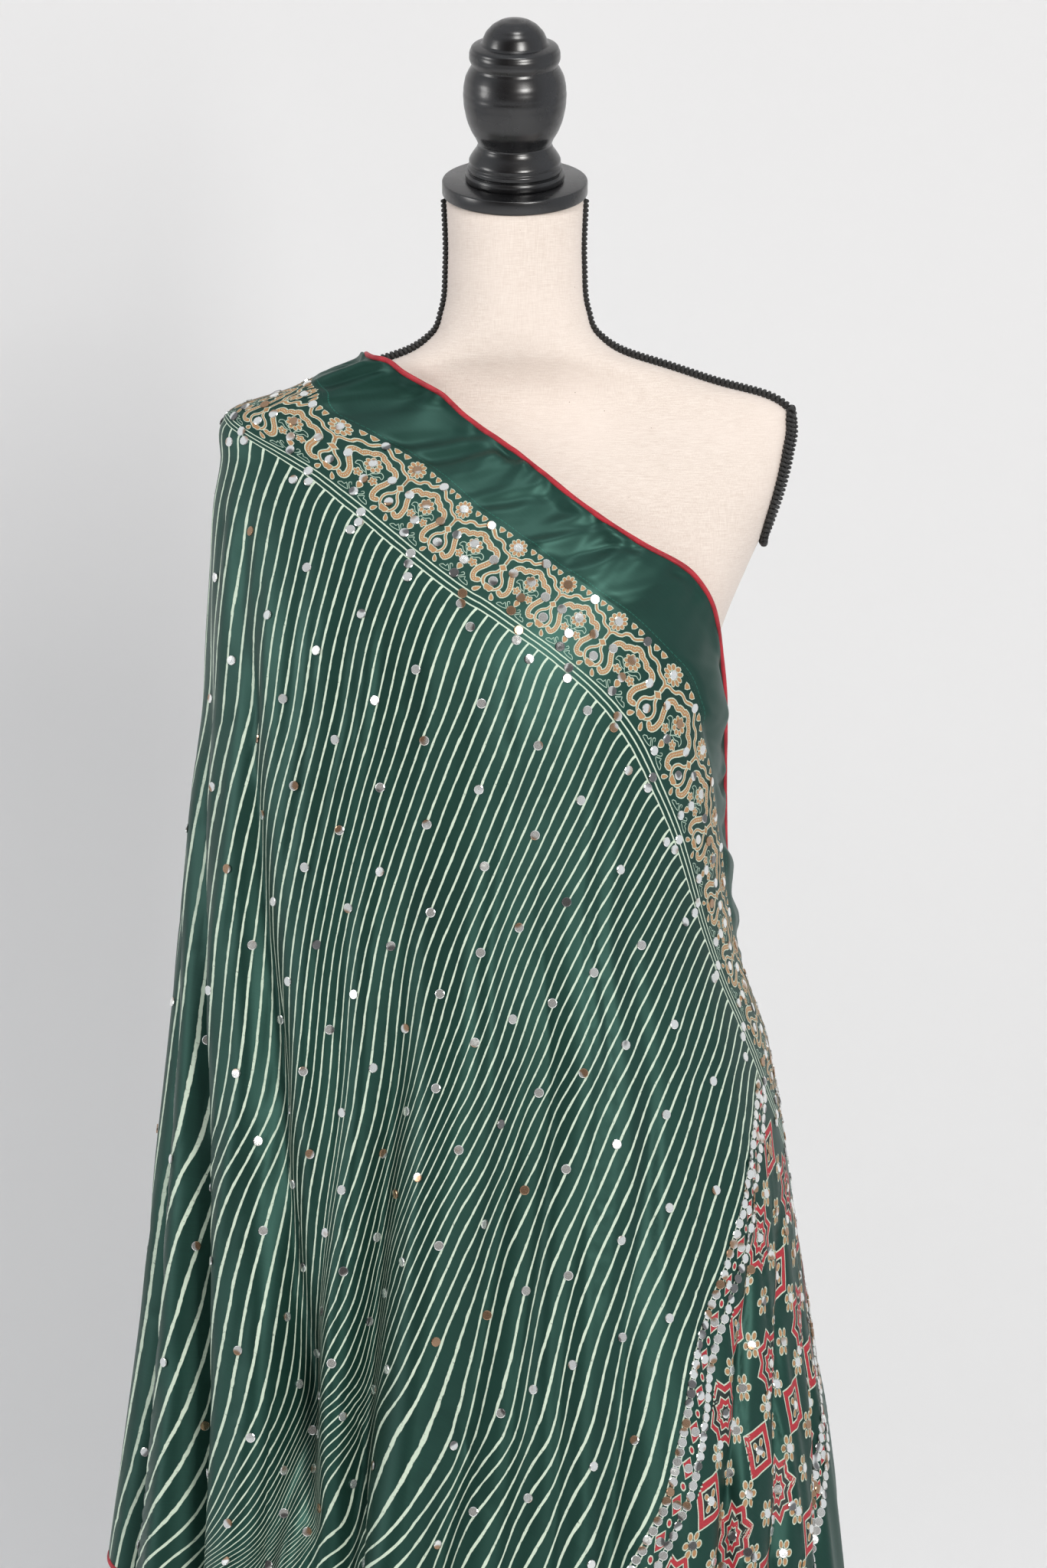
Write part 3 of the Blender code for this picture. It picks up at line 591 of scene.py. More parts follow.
def mesh_object(name, points, faces, materials, face_material=None):
    """An object from numpy points and equal-sided faces, smooth shaded and riding on the root body."""
    points = np.asarray(points, np.float64).reshape(-1, 3)
    faces = np.asarray(faces, np.int32)
    mesh = bpy.data.meshes.new(name)
    mesh.vertices.add(len(points))
    mesh.vertices.foreach_set("co", points.ravel())
    mesh.loops.add(faces.size)
    mesh.loops.foreach_set("vertex_index", faces.ravel())
    mesh.polygons.add(len(faces))
    mesh.polygons.foreach_set("loop_start", np.arange(0, faces.size, faces.shape[1], dtype=np.int32))
    if face_material is not None:
        mesh.polygons.foreach_set("material_index", np.asarray(face_material, np.int32))
    mesh.update(calc_edges=True)
    mesh.validate()
    mesh.shade_smooth()
    for made in materials:
        mesh.materials.append(made)
    piece = bpy.data.objects.new(name, mesh)
    bpy.context.scene.collection.objects.link(piece)
    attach(piece, "root")
    return piece


def add_uv(piece, s, v):
    """A UV map from the cloth's s and v at each vertex."""
    layer = piece.data.uv_layers.new(name="cloth")
    corner = np.empty(len(piece.data.loops), np.int32)
    piece.data.loops.foreach_get("vertex_index", corner)
    pairs = np.stack([np.ravel(s), np.ravel(v)], axis=-1).astype(np.float32)
    layer.data.foreach_set("uv", pairs[corner].ravel())


def cord_mesh(path, out, half_out, half_side, sides):
    """Points and quads of a cord of oval section, with the outward direction given at each point."""
    path, out = np.asarray(path), np.asarray(out)
    along = unit(np.gradient(path, axis=0))
    out = unit(out - along * (out * along).sum(1)[:, None])
    side = np.cross(along, out)
    turn = 2 * math.pi * (np.arange(sides) + 0.5) / sides
    half_out = np.broadcast_to(half_out, len(path))[:, None, None]
    half_side = np.broadcast_to(half_side, len(path))[:, None, None]
    outward = out[:, None] * half_out * np.cos(turn)[:, None]
    sideways = side[:, None] * half_side * np.sin(turn)[:, None]
    points = path[:, None] + (outward + sideways)
    return points.reshape(-1, 3), grid_faces(len(path), sides, around=True)


# Node helpers for the materials
class Nodes:
    """Short calls that add nodes to one material or world."""

    def __init__(self, owner, shader="Principled BSDF"):
        self.owner = owner
        owner.use_nodes = True
        self.tree = owner.node_tree
        self.shader = self.tree.nodes[shader]

    def link(self, value, socket):
        if isinstance(value, bpy.types.NodeSocket):
            self.tree.links.new(value, socket)
        else:
            socket.default_value = value

    def add(self, kind, inputs=(), **settings):
        node = self.tree.nodes.new(kind)
        for key, value in settings.items():
            setattr(node, key, value)
        for key, value in dict(inputs).items():
            self.link(value, node.inputs[key])
        return node

    def math(self, operation, *values):
        node = self.add("ShaderNodeMath", operation=operation)
        for k, value in enumerate(values):
            self.link(value, node.inputs[k])
        return node.outputs[0]

    def step(self, value, low, high):
        """Rises smoothly from 0 to 1 between low and high."""
        node = self.add("ShaderNodeMapRange", interpolation_type="SMOOTHSTEP")
        self.link(value, node.inputs["Value"])
        node.inputs["From Min"].default_value = low
        node.inputs["From Max"].default_value = high
        return node.outputs["Result"]

    def mix(self, share, first, second):
        node = self.add("ShaderNodeMix", data_type="RGBA")
        self.link(share, node.inputs[0])
        for socket, value in ((node.inputs[6], first), (node.inputs[7], second)):
            self.link((*value, 1.0) if isinstance(value, tuple) else value, socket)
        return node.outputs[2]

    def noise(self, vector, scale, detail=2.0, roughness=0.5):
        node = self.add("ShaderNodeTexNoise", {"Scale": scale, "Detail": detail, "Roughness": roughness})
        self.link(vector, node.inputs["Vector"])
        return node.outputs["Fac"]

    def line(self, away, half):
        """One within a line of this half width, zero beyond it, with a soft edge."""
        return self.math("SUBTRACT", 1.0, self.step(away, half - LINE_SOFT, half + LINE_SOFT))

    def stretched(self, vector, *scale):
        return self.add("ShaderNodeMapping", {"Vector": vector, "Scale": scale}).outputs["Vector"]

    def object_vector(self, scale=(1.0, 1.0, 1.0)):
        return self.stretched(self.add("ShaderNodeTexCoord").outputs["Object"], *scale)

    def cloth_uv(self):
        """The cloth's s and v in millimetres."""
        uv = self.add("ShaderNodeUVMap", uv_map="cloth").outputs["UV"]
        split = self.add("ShaderNodeSeparateXYZ", {"Vector": uv})
        s = self.math("MULTIPLY", split.outputs["X"], 1000.0)
        v = self.math("MULTIPLY", split.outputs["Y"], 1000.0)
        return uv, s, v

    def bump(self, height, strength, distance):
        node = self.add("ShaderNodeBump", {"Height": height, "Strength": strength, "Distance": distance})
        self.link(node.outputs["Normal"], self.shader.inputs["Normal"])

    def set(self, **values):
        for key, value in values.items():
            self.link(value, self.shader.inputs[key.replace("_", " ")])
        return self.owner


def new_material(name):
    return Nodes(bpy.data.materials.new(name))


# Colours, and the print's sizes in millimetres
GREEN_DEEP = (0.0036, 0.0150, 0.0110)
GREEN_LIGHT = (0.0066, 0.0290, 0.0210)
CREAM = (0.60, 0.69, 0.56)
MINT = (0.42, 0.58, 0.47)
TAN = (0.46, 0.25, 0.11)
RED = (0.44, 0.022, 0.035)
STRIPE_PITCH = 9.2
STRIPE_HALF = 0.80
TRIPLE_LINES = (99.4, 103.4, 107.4)
LINE_HALF = 0.50
LINE_SOFT = 0.15
SEAM_V = 44.8
SEAM_HALF = 0.22
STITCH_PITCH = 3.0
SATIN_SHEEN = {
    "Specular_IOR_Level": 0.66,
    "Specular_Tint": (0.42, 0.95, 0.80, 1.0),
    "Sheen_Weight": 0.03,
    "Sheen_Roughness": 0.35,
    "Sheen_Tint": (0.30, 0.70, 0.58, 1.0),
}


def thread_bump(n, uv):
    """The satin's fine crosswise threads and small slubs."""
    fine = n.noise(n.stretched(uv, 2600.0, 700.0, 1.0), 1.0)
    slub = n.noise(n.stretched(uv, 60.0, 900.0, 1.0), 1.0)
    n.bump(n.math("ADD", fine, slub), 0.10, 0.0003)


def satin_green(n, uv):
    cloud = n.noise(uv, 14.0, 4.0, 0.6)
    thread = n.noise(n.stretched(uv, 45.0, 1500.0, 1.0), 1.0)
    share = n.math("MULTIPLY_ADD", thread, 0.35, n.math("MULTIPLY", cloud, 0.65))
    return n.mix(n.step(share, 0.25, 0.75), GREEN_DEEP, GREEN_LIGHT)


def plain_satin():
    """Green satin with a row of stitches where the band is seamed to the print."""
    n = new_material("green_satin")
    uv, s, v = n.cloth_uv()
    thread_bump(n, uv)
    on_seam = n.math("LESS_THAN", n.math("ABSOLUTE", n.math("SUBTRACT", v, SEAM_V)), SEAM_HALF)
    in_stitch = n.math("LESS_THAN", n.math("FRACT", n.math("DIVIDE", s, STITCH_PITCH)), 0.72)
    stitch = n.math("MULTIPLY", on_seam, in_stitch)
    colour = n.mix(stitch, satin_green(n, uv), (0.012, 0.090, 0.065))
    return n.set(Base_Color=colour, Roughness=0.45, **SATIN_SHEEN)


def printed_satin():
    """Green satin with cream stripes below the border and three fine lines between them."""
    n = new_material("printed_satin")
    uv, s, v = n.cloth_uv()
    # The print is a little uneven, as if drawn by hand
    quick = n.stretched(uv, 300.0, 300.0, 1.0)
    wander = n.math("MULTIPLY_ADD", n.noise(n.stretched(uv, 90.0, 26.0, 1.0), 1.0), 1.9, -0.95)
    ragged = n.math("MULTIPLY_ADD", n.noise(quick, 0.45), 1.0, -0.5)
    # Each stripe curls as it leaves the border's lines
    below = n.math("MAXIMUM", n.math("SUBTRACT", v, BORDER_WIDTH * 1000), 0.0)
    curl = n.math("MULTIPLY", n.math("EXPONENT", n.math("DIVIDE", below, -9.0)), 4.0)
    drawn = n.math("ADD", n.math("ADD", s, wander), curl)
    counted = n.math("DIVIDE", n.math("SUBTRACT", drawn, PANEL_START * 1000), STRIPE_PITCH)
    off = n.math("ABSOLUTE", n.math("SUBTRACT", n.math("FRACT", counted), 0.5))
    away = n.math("ADD", n.math("MULTIPLY", off, STRIPE_PITCH), ragged)
    stripe = n.line(away, STRIPE_HALF)
    in_field = n.math("GREATER_THAN", v, BORDER_WIDTH * 1000 - 0.6)
    in_body = n.math("GREATER_THAN", s, PANEL_START * 1000 - 0.5)
    ink = n.math("MULTIPLY", n.math("MULTIPLY", stripe, in_field), in_body)
    soft_v = n.math("ADD", v, n.math("MULTIPLY", ragged, 0.7))
    for line in TRIPLE_LINES:
        away = n.math("ABSOLUTE", n.math("SUBTRACT", soft_v, line))
        ink = n.math("MAXIMUM", ink, n.line(away, LINE_HALF))
    thread_bump(n, uv)
    patchy = n.math("MULTIPLY", ink, n.step(n.noise(quick, 1.7), 0.12, 0.42))
    colour = n.mix(patchy, satin_green(n, uv), CREAM)
    rough = n.math("MULTIPLY_ADD", ink, 0.14, 0.46)
    return n.set(Base_Color=colour, Roughness=rough, **SATIN_SHEEN)


def ink(name, colour):
    """Printed pigment, a little uneven in tone."""
    n = new_material(name + "_ink")
    darker = tuple(c * 0.75 for c in colour)
    mottle = n.noise(n.object_vector(), 900.0, 3.0, 0.6)
    return n.set(Base_Color=n.mix(n.step(mottle, 0.3, 0.7), darker, colour), Roughness=0.55)


def red_piping():
    n = new_material("red_piping")
    uv, s, v = n.cloth_uv()
    twill = n.math("SINE", n.math("MULTIPLY", n.math("ADD", s, n.math("MULTIPLY", v, 1.6)), 5.2))
    n.bump(twill, 0.35, 0.0003)
    fade = n.step(n.noise(uv, 90.0, 3.0), 0.3, 0.7)
    return n.set(Base_Color=n.mix(fade, (0.30, 0.008, 0.018), (0.52, 0.020, 0.035)), Roughness=0.5)


def canvas():
    n = new_material("canvas")
    vector = n.object_vector()
    weft = n.noise(n.object_vector((130.0, 130.0, 2600.0)), 1.0, 3.0, 0.6)
    warp = n.noise(n.object_vector((2200.0, 2200.0, 110.0)), 1.0, 3.0, 0.6)
    weave = n.math("ADD", n.math("MULTIPLY", weft, 0.55), n.math("MULTIPLY", warp, 0.45))
    n.bump(weave, 0.35, 0.0006)
    base = n.mix(n.step(weave, 0.34, 0.66), (0.66, 0.56, 0.49), (0.82, 0.735, 0.665))
    stain = n.mix(n.step(n.noise(vector, 7.0, 3.0), 0.35, 0.75), base, (0.82, 0.72, 0.65))
    cells = n.add("ShaderNodeTexVoronoi", {"Vector": vector, "Scale": 150.0, "Randomness": 1.0})
    fleck = n.math("LESS_THAN", cells.outputs["Distance"], 0.055)
    rare = n.math("GREATER_THAN", n.noise(vector, 60.0), 0.60)
    colour = n.mix(n.math("MULTIPLY", n.math("MULTIPLY", fleck, rare), 0.7), stain, (0.22, 0.14, 0.08))
    return n.set(Base_Color=colour, Roughness=0.92, Sheen_Weight=0.15)


def black_braid():
    n = new_material("black_braid")
    strands = n.noise(n.object_vector((900.0, 900.0, 2200.0)), 1.0, 2.0)
    n.bump(strands, 0.5, 0.0004)
    colour = n.mix(n.step(strands, 0.35, 0.7), (0.006, 0.006, 0.006), (0.030, 0.029, 0.028))
    return n.set(Base_Color=colour, Roughness=0.62, Sheen_Weight=0.12)


def black_gloss():
    n = new_material("black_gloss")
    brushed = n.noise(n.object_vector((30.0, 30.0, 900.0)), 1.0, 2.0)
    n.bump(brushed, 0.03, 0.0003)
    wear = n.noise(n.object_vector(), 60.0, 4.0)
    rough = n.math("MULTIPLY_ADD", wear, 0.12, 0.21)
    colour = n.mix(n.step(wear, 0.3, 0.8), (0.0045, 0.0045, 0.005), (0.009, 0.009, 0.010))
    return n.set(Base_Color=colour, Roughness=rough, Specular_IOR_Level=0.8)


def mirror_glass():
    n = new_material("mirror_glass")
    vector = n.object_vector()
    rough = n.math("MULTIPLY_ADD", n.noise(vector, 500.0), 0.16, 0.05)
    # Painted reflection: some mirrors get a tan or dark grey colour that stands for the dim room they
    # reflect
    tone = n.noise(vector, 70.0, 0.0)
    painted_reflection = n.mix(n.step(tone, 0.60, 0.68), (0.86, 0.88, 0.86), (0.42, 0.27, 0.17))
    colour = n.mix(n.step(tone, 0.36, 0.30), painted_reflection, (0.20, 0.20, 0.20))
    return n.set(Base_Color=colour, Metallic=0.75, Roughness=rough)


GREEN_SATIN = plain_satin()
PRINTED_SATIN = printed_satin()
INKS = {
    name: ink(name, colour)
    for name, colour in (("cream", CREAM), ("tan", TAN), ("mint", MINT), ("red", RED), ("green", GREEN_DEEP))
}
RED_PIPING = red_piping()
CANVAS = canvas()
BLACK_BRAID = black_braid()
BLACK_GLOSS = black_gloss()
MIRROR_GLASS = mirror_glass()


# The print: flat shapes in millimetres of s and v, each just above the last
SWEEP_MM = SWEEP_END * 1000
LAYER = 0.07
FIRST_LAYER = 0.20
MAX_STEP = 1.6
FILL_STEP = 3.0
CORNER_STEP = 2.2
HAND_DRAWN = 0.28


def spline(points, closed=False):
    """A smooth line through points, with a point at least every MAX_STEP."""
    p = np.asarray(points, float)
    if closed:
        p = np.vstack([p[-1:], p, p[:2]])
    else:
        p = np.vstack([2 * p[0] - p[1], p, 2 * p[-1] - p[-2]])
    out = []
    for k in range(1, len(p) - 2):
        steps = max(2, int(math.ceil(np.linalg.norm(p[k + 1] - p[k]) / MAX_STEP)))
        t = np.arange(steps)[:, None] / steps
        a = 2 * p[k]
        b = p[k + 1] - p[k - 1]
        c = 2 * p[k - 1] - 5 * p[k] + 4 * p[k + 1] - p[k + 2]
        d = -p[k - 1] + 3 * p[k] - 3 * p[k + 1] + p[k + 2]
        out.append(0.5 * (a + b * t + c * t * t + d * t ** 3))
    line = np.vstack(out)
    return line if closed else np.vstack([line, p[-2:-1]])


def turned(flat, centre, turn):
    """A shape drawn about zero, turned and moved to its centre."""
    rotate = np.array([[math.cos(turn), math.sin(turn)], [-math.sin(turn), math.cos(turn)]])
    return np.asarray(centre, float) + np.stack(flat, axis=1) @ rotate


def polar(radius, turn):
    """The place at a distance from zero, in the direction of a turn."""
    return (math.cos(turn) * radius, math.sin(turn) * radius)


def ring(centre, radius, count, squash=1.0, turn=0.0):
    """A circle or an oval of count points."""
    angle = 2 * math.pi * np.arange(count) / count
    return turned((np.cos(angle) * radius, np.sin(angle) * radius * squash), centre, turn)


def teardrop(centre, length, width, turn):
    angle = np.linspace(0, 2 * math.pi, 13)[:-1]
    fuller = 1 + 0.55 * np.cos(angle)
    return turned((np.cos(angle) * length / 2, np.sin(angle) * width / 2 * fuller), centre, turn)


class Print:
    """Flat printed shapes: triangles in (s, v) millimetres with an ink and a layer each."""

    def __init__(self):
        self.points, self.faces, self.layers, self.inks = [], [], [], []
        self.count = 0

    def take(self, points, faces, colour, layer):
        """Adds triangles of one ink on one layer."""
        inks = np.full(len(faces), list(INKS).index(colour))
        self.append(points, np.asarray(faces, int), np.full(len(points), layer, float), inks)

    def append(self, points, faces, layers, inks):
        self.points.append(points)
        self.faces.append(faces + self.count)
        self.layers.append(layers)
        self.inks.append(inks)
        self.count += len(points)

    def stroke(self, line, width, colour, layer, closed=False, taper=False):
        line = np.asarray(line, float)
        if closed:
            along = np.roll(line, -1, 0) - np.roll(line, 1, 0)
        else:
            along = np.gradient(line, axis=0)
        along = along / np.maximum(np.linalg.norm(along, axis=1), 1e-9)[:, None]
        side = np.stack([-along[:, 1], along[:, 0]], axis=1)
        half = np.full(len(line), width / 2)
        if taper:
            half = half * (0.35 + 0.65 * np.sin(math.pi * np.linspace(0.08, 0.92, len(line))))
        n = len(line)
        faces = []
        for k in range(n if closed else n - 1):
            m = (k + 1) % n
            faces += [(k, m, n + m), (k, n + m, n + k)]
        edge = side * half[:, None]
        self.take(np.vstack([line + edge, line - edge]), faces, colour, layer)
        if not closed:
            for end, outward in ((0, -1), (n - 1, 1)):
                turn = np.linspace(-math.pi / 2, math.pi / 2, 6)[:, None]
                ahead = along[end] * outward
                beside = np.array([-ahead[1], ahead[0]])
                cap = line[end] + half[end] * (np.cos(turn) * ahead + np.sin(turn) * beside)
                self.fan(cap, colour, layer)

    def fan(self, outline, colour, layer):
        """Fills an outline that can be seen whole from its middle."""
        outline = np.asarray(outline, float)
        middle = outline.mean(0)
        n = len(outline)
        reach = np.linalg.norm(outline - middle, axis=1).max()
        rings = max(1, int(math.ceil(reach / FILL_STEP)))
        points = [middle[None]]
        points += [middle + (outline - middle) * (k + 1) / rings for k in range(rings)]
        faces = [(0, 1 + k, 1 + (k + 1) % n) for k in range(n)]
        for r in range(rings - 1):
            low, high = 1 + r * n, 1 + (r + 1) * n
            for k in range(n):
                m = (k + 1) % n
                faces += [(low + k, high + k, high + m), (low + k, high + m, low + m)]
        self.take(np.vstack(points), faces, colour, layer)

    def outlined(self, outline, colour, rim, rim_colour, layer):
        """A filled shape with a printed rim round it."""
        outline = np.asarray(outline, float)
        self.fan(outline + unit(outline - outline.mean(0)) * rim, rim_colour, layer)
        self.fan(outline, colour, layer + 1)

    def repeat(self, other, shift_s, shift_v=0.0, mirrored=False):
        """Adds a copy of another print, moved along the cloth."""
        points = np.vstack(other.points).copy()
        if mirrored:
            points[:, 0] *= -1
        points += (shift_s, shift_v)
        self.append(points, np.vstack(other.faces), np.concatenate(other.layers), np.concatenate(other.inks))

    def build(self, name, cloth, low_s, high_s):
        """Lays the shapes on the cloth, leaving out what falls past its ends."""
        points = np.vstack(self.points)
        faces = np.vstack(self.faces)
        kept = ((points[faces, 0] > low_s) & (points[faces, 0] < high_s)).all(axis=1)
        inks = np.concatenate(self.inks)[kept]
        used, faces = np.unique(faces[kept], return_inverse=True)
        faces = faces.reshape(-1, 3)
        points, layers = points[used], np.concatenate(self.layers)[used]
        wobble = [value_noise(points[:, 0] / 5, points[:, 1] / 5, seed) for seed in (21, 22)]
        placed = (points + HAND_DRAWN * np.stack(wobble, axis=1)) * MM
        on, _ = cloth.at(placed[:, 0], placed[:, 1], (FIRST_LAYER + LAYER * layers) * MM)
        # Every face looks away from the cloth
        first, second, third = (points[faces[:, k]] for k in range(3))
        one, two = second - first, third - first
        facing_in = one[:, 0] * two[:, 1] - one[:, 1] * two[:, 0] < 0
        faces[facing_in] = faces[facing_in][:, ::-1]
        return mesh_object(name, on, faces, list(INKS.values()), inks)


# The scroll border, drawn for one repeat about the middle of its arch
REPEAT = 47.0
REPEATS = int(SWEEP_MM / REPEAT) + 1
ARCH = (
    (-15.4, 89.2), (-12.9, 90.2), (-10.6, 87.0), (-11.0, 81.6), (-13.4, 76.6),
    (-15.0, 71.8), (-15.2, 68.4), (-13.2, 65.6), (-10.6, 65.0), (-8.6, 65.4),
    (-7.2, 63.4), (-4.6, 62.2), (-3.4, 62.4), (-2.2, 60.4), (0.0, 59.6),
)
ARCH_STEM = (
    (-23.5, 72.2), (-23.4, 64.8), (-21.4, 62.2), (-18.2, 61.8), (-15.4, 60.4), (-14.2, 58.2),
    (-11.0, 56.6), (-7.4, 57.0), (-5.2, 55.6), (-3.2, 53.4), (0.0, 51.6),
)
LOOP = (
    (-23.5, 72.4), (-21.8, 77.6), (-18.6, 80.8), (-17.2, 84.6), (-18.2, 88.4), (-20.8, 90.6), (-23.5, 91.4),
)
LEAF = (
    (-1.6, 77.5), (-4.4, 77.2), (-7.2, 75.0), (-9.6, 75.8),
    (-9.2, 73.0), (-6.4, 71.8), (-4.6, 74.0), (-1.6, 76.6),
)
CURL = ((-2.4, 95.0), (-4.6, 93.4), (-6.2, 91.4), (-5.0, 90.2), (-3.8, 91.6))
GROUND_LEAF = (
    (-4.0, 95.6), (-7.4, 96.8), (-12.4, 96.8), (-10.6, 94.4), (-8.2, 94.6), (-7.6, 92.4), (-5.4, 94.4),
)
LEAF_STEM = ((0.0, 81.0), (-0.4, 78.6), (-1.6, 77.2))
HEART = ((-2.0, 49.2), (0.0, 48.9), (2.0, 49.2), (1.2, 51.0), (0.0, 52.4), (-1.2, 51.0))
HEART_OFFSETS = (6.6, 12.6)
KNOT = ((-2.6, 72.6), (0.0, 70.2), (2.6, 72.6), (0.0, 75.0))


def floret(made, centre, petals, inner, outer, layer):
    """A ring of small tan petals with cream rims."""
    for k in range(petals):
        turn = 2 * math.pi * (k + 0.5) / petals
        middle = np.array(centre) + np.array(polar(1.0, turn)) * (inner + outer) / 2
        half = (outer - inner) / 2
        width = min(half, 0.85 * math.pi * (inner + outer) / 2 / petals)
        tip = ring(middle, half, 8, width / half, turn)
        made.outlined(tip, "tan", 0.55, "cream", layer)


def border_half():
    """The left half of one repeat; the right half is its mirror image."""
    made = Print()
    arch = spline(ARCH)
    made.stroke(arch, 4.3, "cream", 0)
    made.stroke(arch, 2.9, "tan", 1)
    stations = np.cumsum(np.r_[0, np.linalg.norm(np.diff(arch, axis=0), axis=1)])
    for k, place in enumerate(np.arange(1.2, stations[-1], 1.5)):
        dot = [np.interp(place, stations, arch[:, axis]) for axis in (0, 1)]
        made.fan(ring(dot, 0.36, 6), "cream", 2)
    for line, width in ((ARCH_STEM, 1.3), (LOOP, 1.1)):
        smooth = spline(line)
        made.stroke(smooth, width + 1.3, "cream", 0)
        made.stroke(smooth, width, "tan", 1)
    for leaf in (LEAF, GROUND_LEAF):
        made.stroke(spline(leaf, closed=True), 0.55, "mint", 0, closed=True)
    made.stroke(spline(CURL), 0.6, "mint", 0, taper=True)
    made.stroke(spline(LEAF_STEM), 0.6, "mint", 0)
    floret(made, (-5.7, 80.6), 5, 0.5, 3.0, 1)
    made.outlined(teardrop((-18.0, 95.0), 4.8, 2.3, 1.0), "tan", 0.6, "cream", 1)
    made.outlined(teardrop((-24.9, 90.4), 4.6, 3.6, 0.6), "tan", 0.6, "cream", 2)
    for offset in HEART_OFFSETS:
        made.outlined(np.array(HEART) - (offset, 0.0), "tan", 0.55, "cream", 0)
    return made


def border_middle():
    """What stands on the axis of the arch and on the axis between two arches."""
    made = Print()
    floret(made, (0.0, 70.0), 8, 2.4, 5.4, 1)
    made.outlined(teardrop((0.0, 88.4), 4.6, 3.4, -math.pi / 2), "tan", 0.6, "cream", 1)
    floret(made, (-REPEAT / 2, 54.4), 10, 3.0, 6.4, 1)
    made.outlined(np.array(KNOT) - (REPEAT / 2, 0.0), "tan", 0.9, "cream", 2)
    return made


def border_print(cloth):
    half, middle, whole = border_half(), border_middle(), Print()
    for k in range(REPEATS):
        centre = REPEAT * (k + 0.5)
        whole.repeat(half, centre)
        whole.repeat(half, centre, mirrored=True)
        whole.repeat(middle, centre)
    return whole.build("saree_border_print", cloth, 1.0, SWEEP_MM - 1.0)


# Cross bands, ajrakh panel and end strip
CROSS_BANDS = (131.5, 388.5)
BAND_LINES = (-11.3, -7.2, 7.2, 11.3)
BAND_DIAMOND = (5.0, 7.4)
PANEL_PITCH = 62.0
PANEL_S = (148.0, 372.0)
FIELD_V = (112.0, 925.0)
STAR_LAYERS = (
    (25.0, "cream"), (23.6, "red"), (18.4, "cream"), (17.2, "green"),
    (12.6, "cream"), (11.4, "red"), (7.0, "cream"), (5.9, "green"),
)
STAR_WAIST = 0.76
DIAMOND_LAYERS = ((1.0, "cream"), (0.93, "red"), (0.62, "cream"), (0.55, "green"))
DIAMOND = (21.0, 22.0)
LEAF_S = 15.0
LEAF_LENGTHS = (9.0, 5.6)
STRIP_EDGES = (3.0, 27.0)


def star(radius):
    """An eight-pointed star."""
    angle = 2 * math.pi * np.arange(16) / 16
    size = np.where(np.arange(16) % 2 == 0, radius, radius * STAR_WAIST)
    return densify(np.stack([np.cos(angle) * size, np.sin(angle) * size], axis=1))


def diamond(half_s, half_v):
    return np.array(((0.0, -half_v), (half_s, 0.0), (0.0, half_v), (-half_s, 0.0)))


def densify(corners):
    """The same outline with a point at least every CORNER_STEP."""
    out = []
    for k, point in enumerate(corners):
        after = corners[(k + 1) % len(corners)]
        count = max(1, int(math.ceil(np.linalg.norm(after - point) / CORNER_STEP)))
        out.append(point + (after - point) * (np.arange(count) / count)[:, None])
    return np.vstack(out)


def star_motif():
    """Stars inside one another, each on the layer above."""
    made = Print()
    for k, (size, colour) in enumerate(STAR_LAYERS):
        made.fan(star(size), colour, k)
    return made


def diamond_motif():
    """Diamonds inside one another, with four petals in the middle."""
    made = Print()
    for k, (size, colour) in enumerate(DIAMOND_LAYERS):
        made.fan(densify(diamond(*DIAMOND) * size), colour, k)
    for quarter in range(4):
        turn = math.pi / 2 * quarter
        made.outlined(teardrop(polar(5.0, turn), 6.4, 3.2, turn), "tan", 0.7, "cream", 4)
    return made


def flower_motif():
    """Six round tan petals with cream rims; a mirror is its middle."""
    made = Print()
    for k in range(6):
        turn = 2 * math.pi * (k + 0.5) / 6
        made.fan(ring(polar(6.5, turn), 3.5, 10, 0.84, turn), "cream", 0)
        made.fan(ring(polar(6.5, turn), 2.5, 8, 0.80, turn), "tan", 2)
    return made


def panel_places():
    """Where the panel's large motifs and its flowers stand, with their kinds."""
    places = []
    half = PANEL_PITCH / 2
    columns, rows = (int((high - low) / PANEL_PITCH) + 2 for low, high in (PANEL_S, FIELD_V))
    for column in range(columns):
        for row in range(rows):
            s = PANEL_S[0] + 22 + column * PANEL_PITCH
            v = FIELD_V[0] + 26 + row * PANEL_PITCH
            places.append(("star" if (row + column) % 2 == 0 else "diamond", s, v))
            places += [("flower", s + ds, v + dv) for ds, dv in ((half, 0.0), (half, half), (0.0, half))]
    return places


def panel_print(cloth):
    motifs = {"star": star_motif(), "diamond": diamond_motif(), "flower": flower_motif()}
    whole = Print()
    for kind, s, v in panel_places():
        reach = 13.0 if kind == "flower" else 26.0
        if FIELD_V[0] + 6 < v < FIELD_V[1] - reach:
            whole.repeat(motifs[kind], s, v)
    return whole.build("saree_panel_print", cloth, PANEL_S[0], PANEL_S[1])


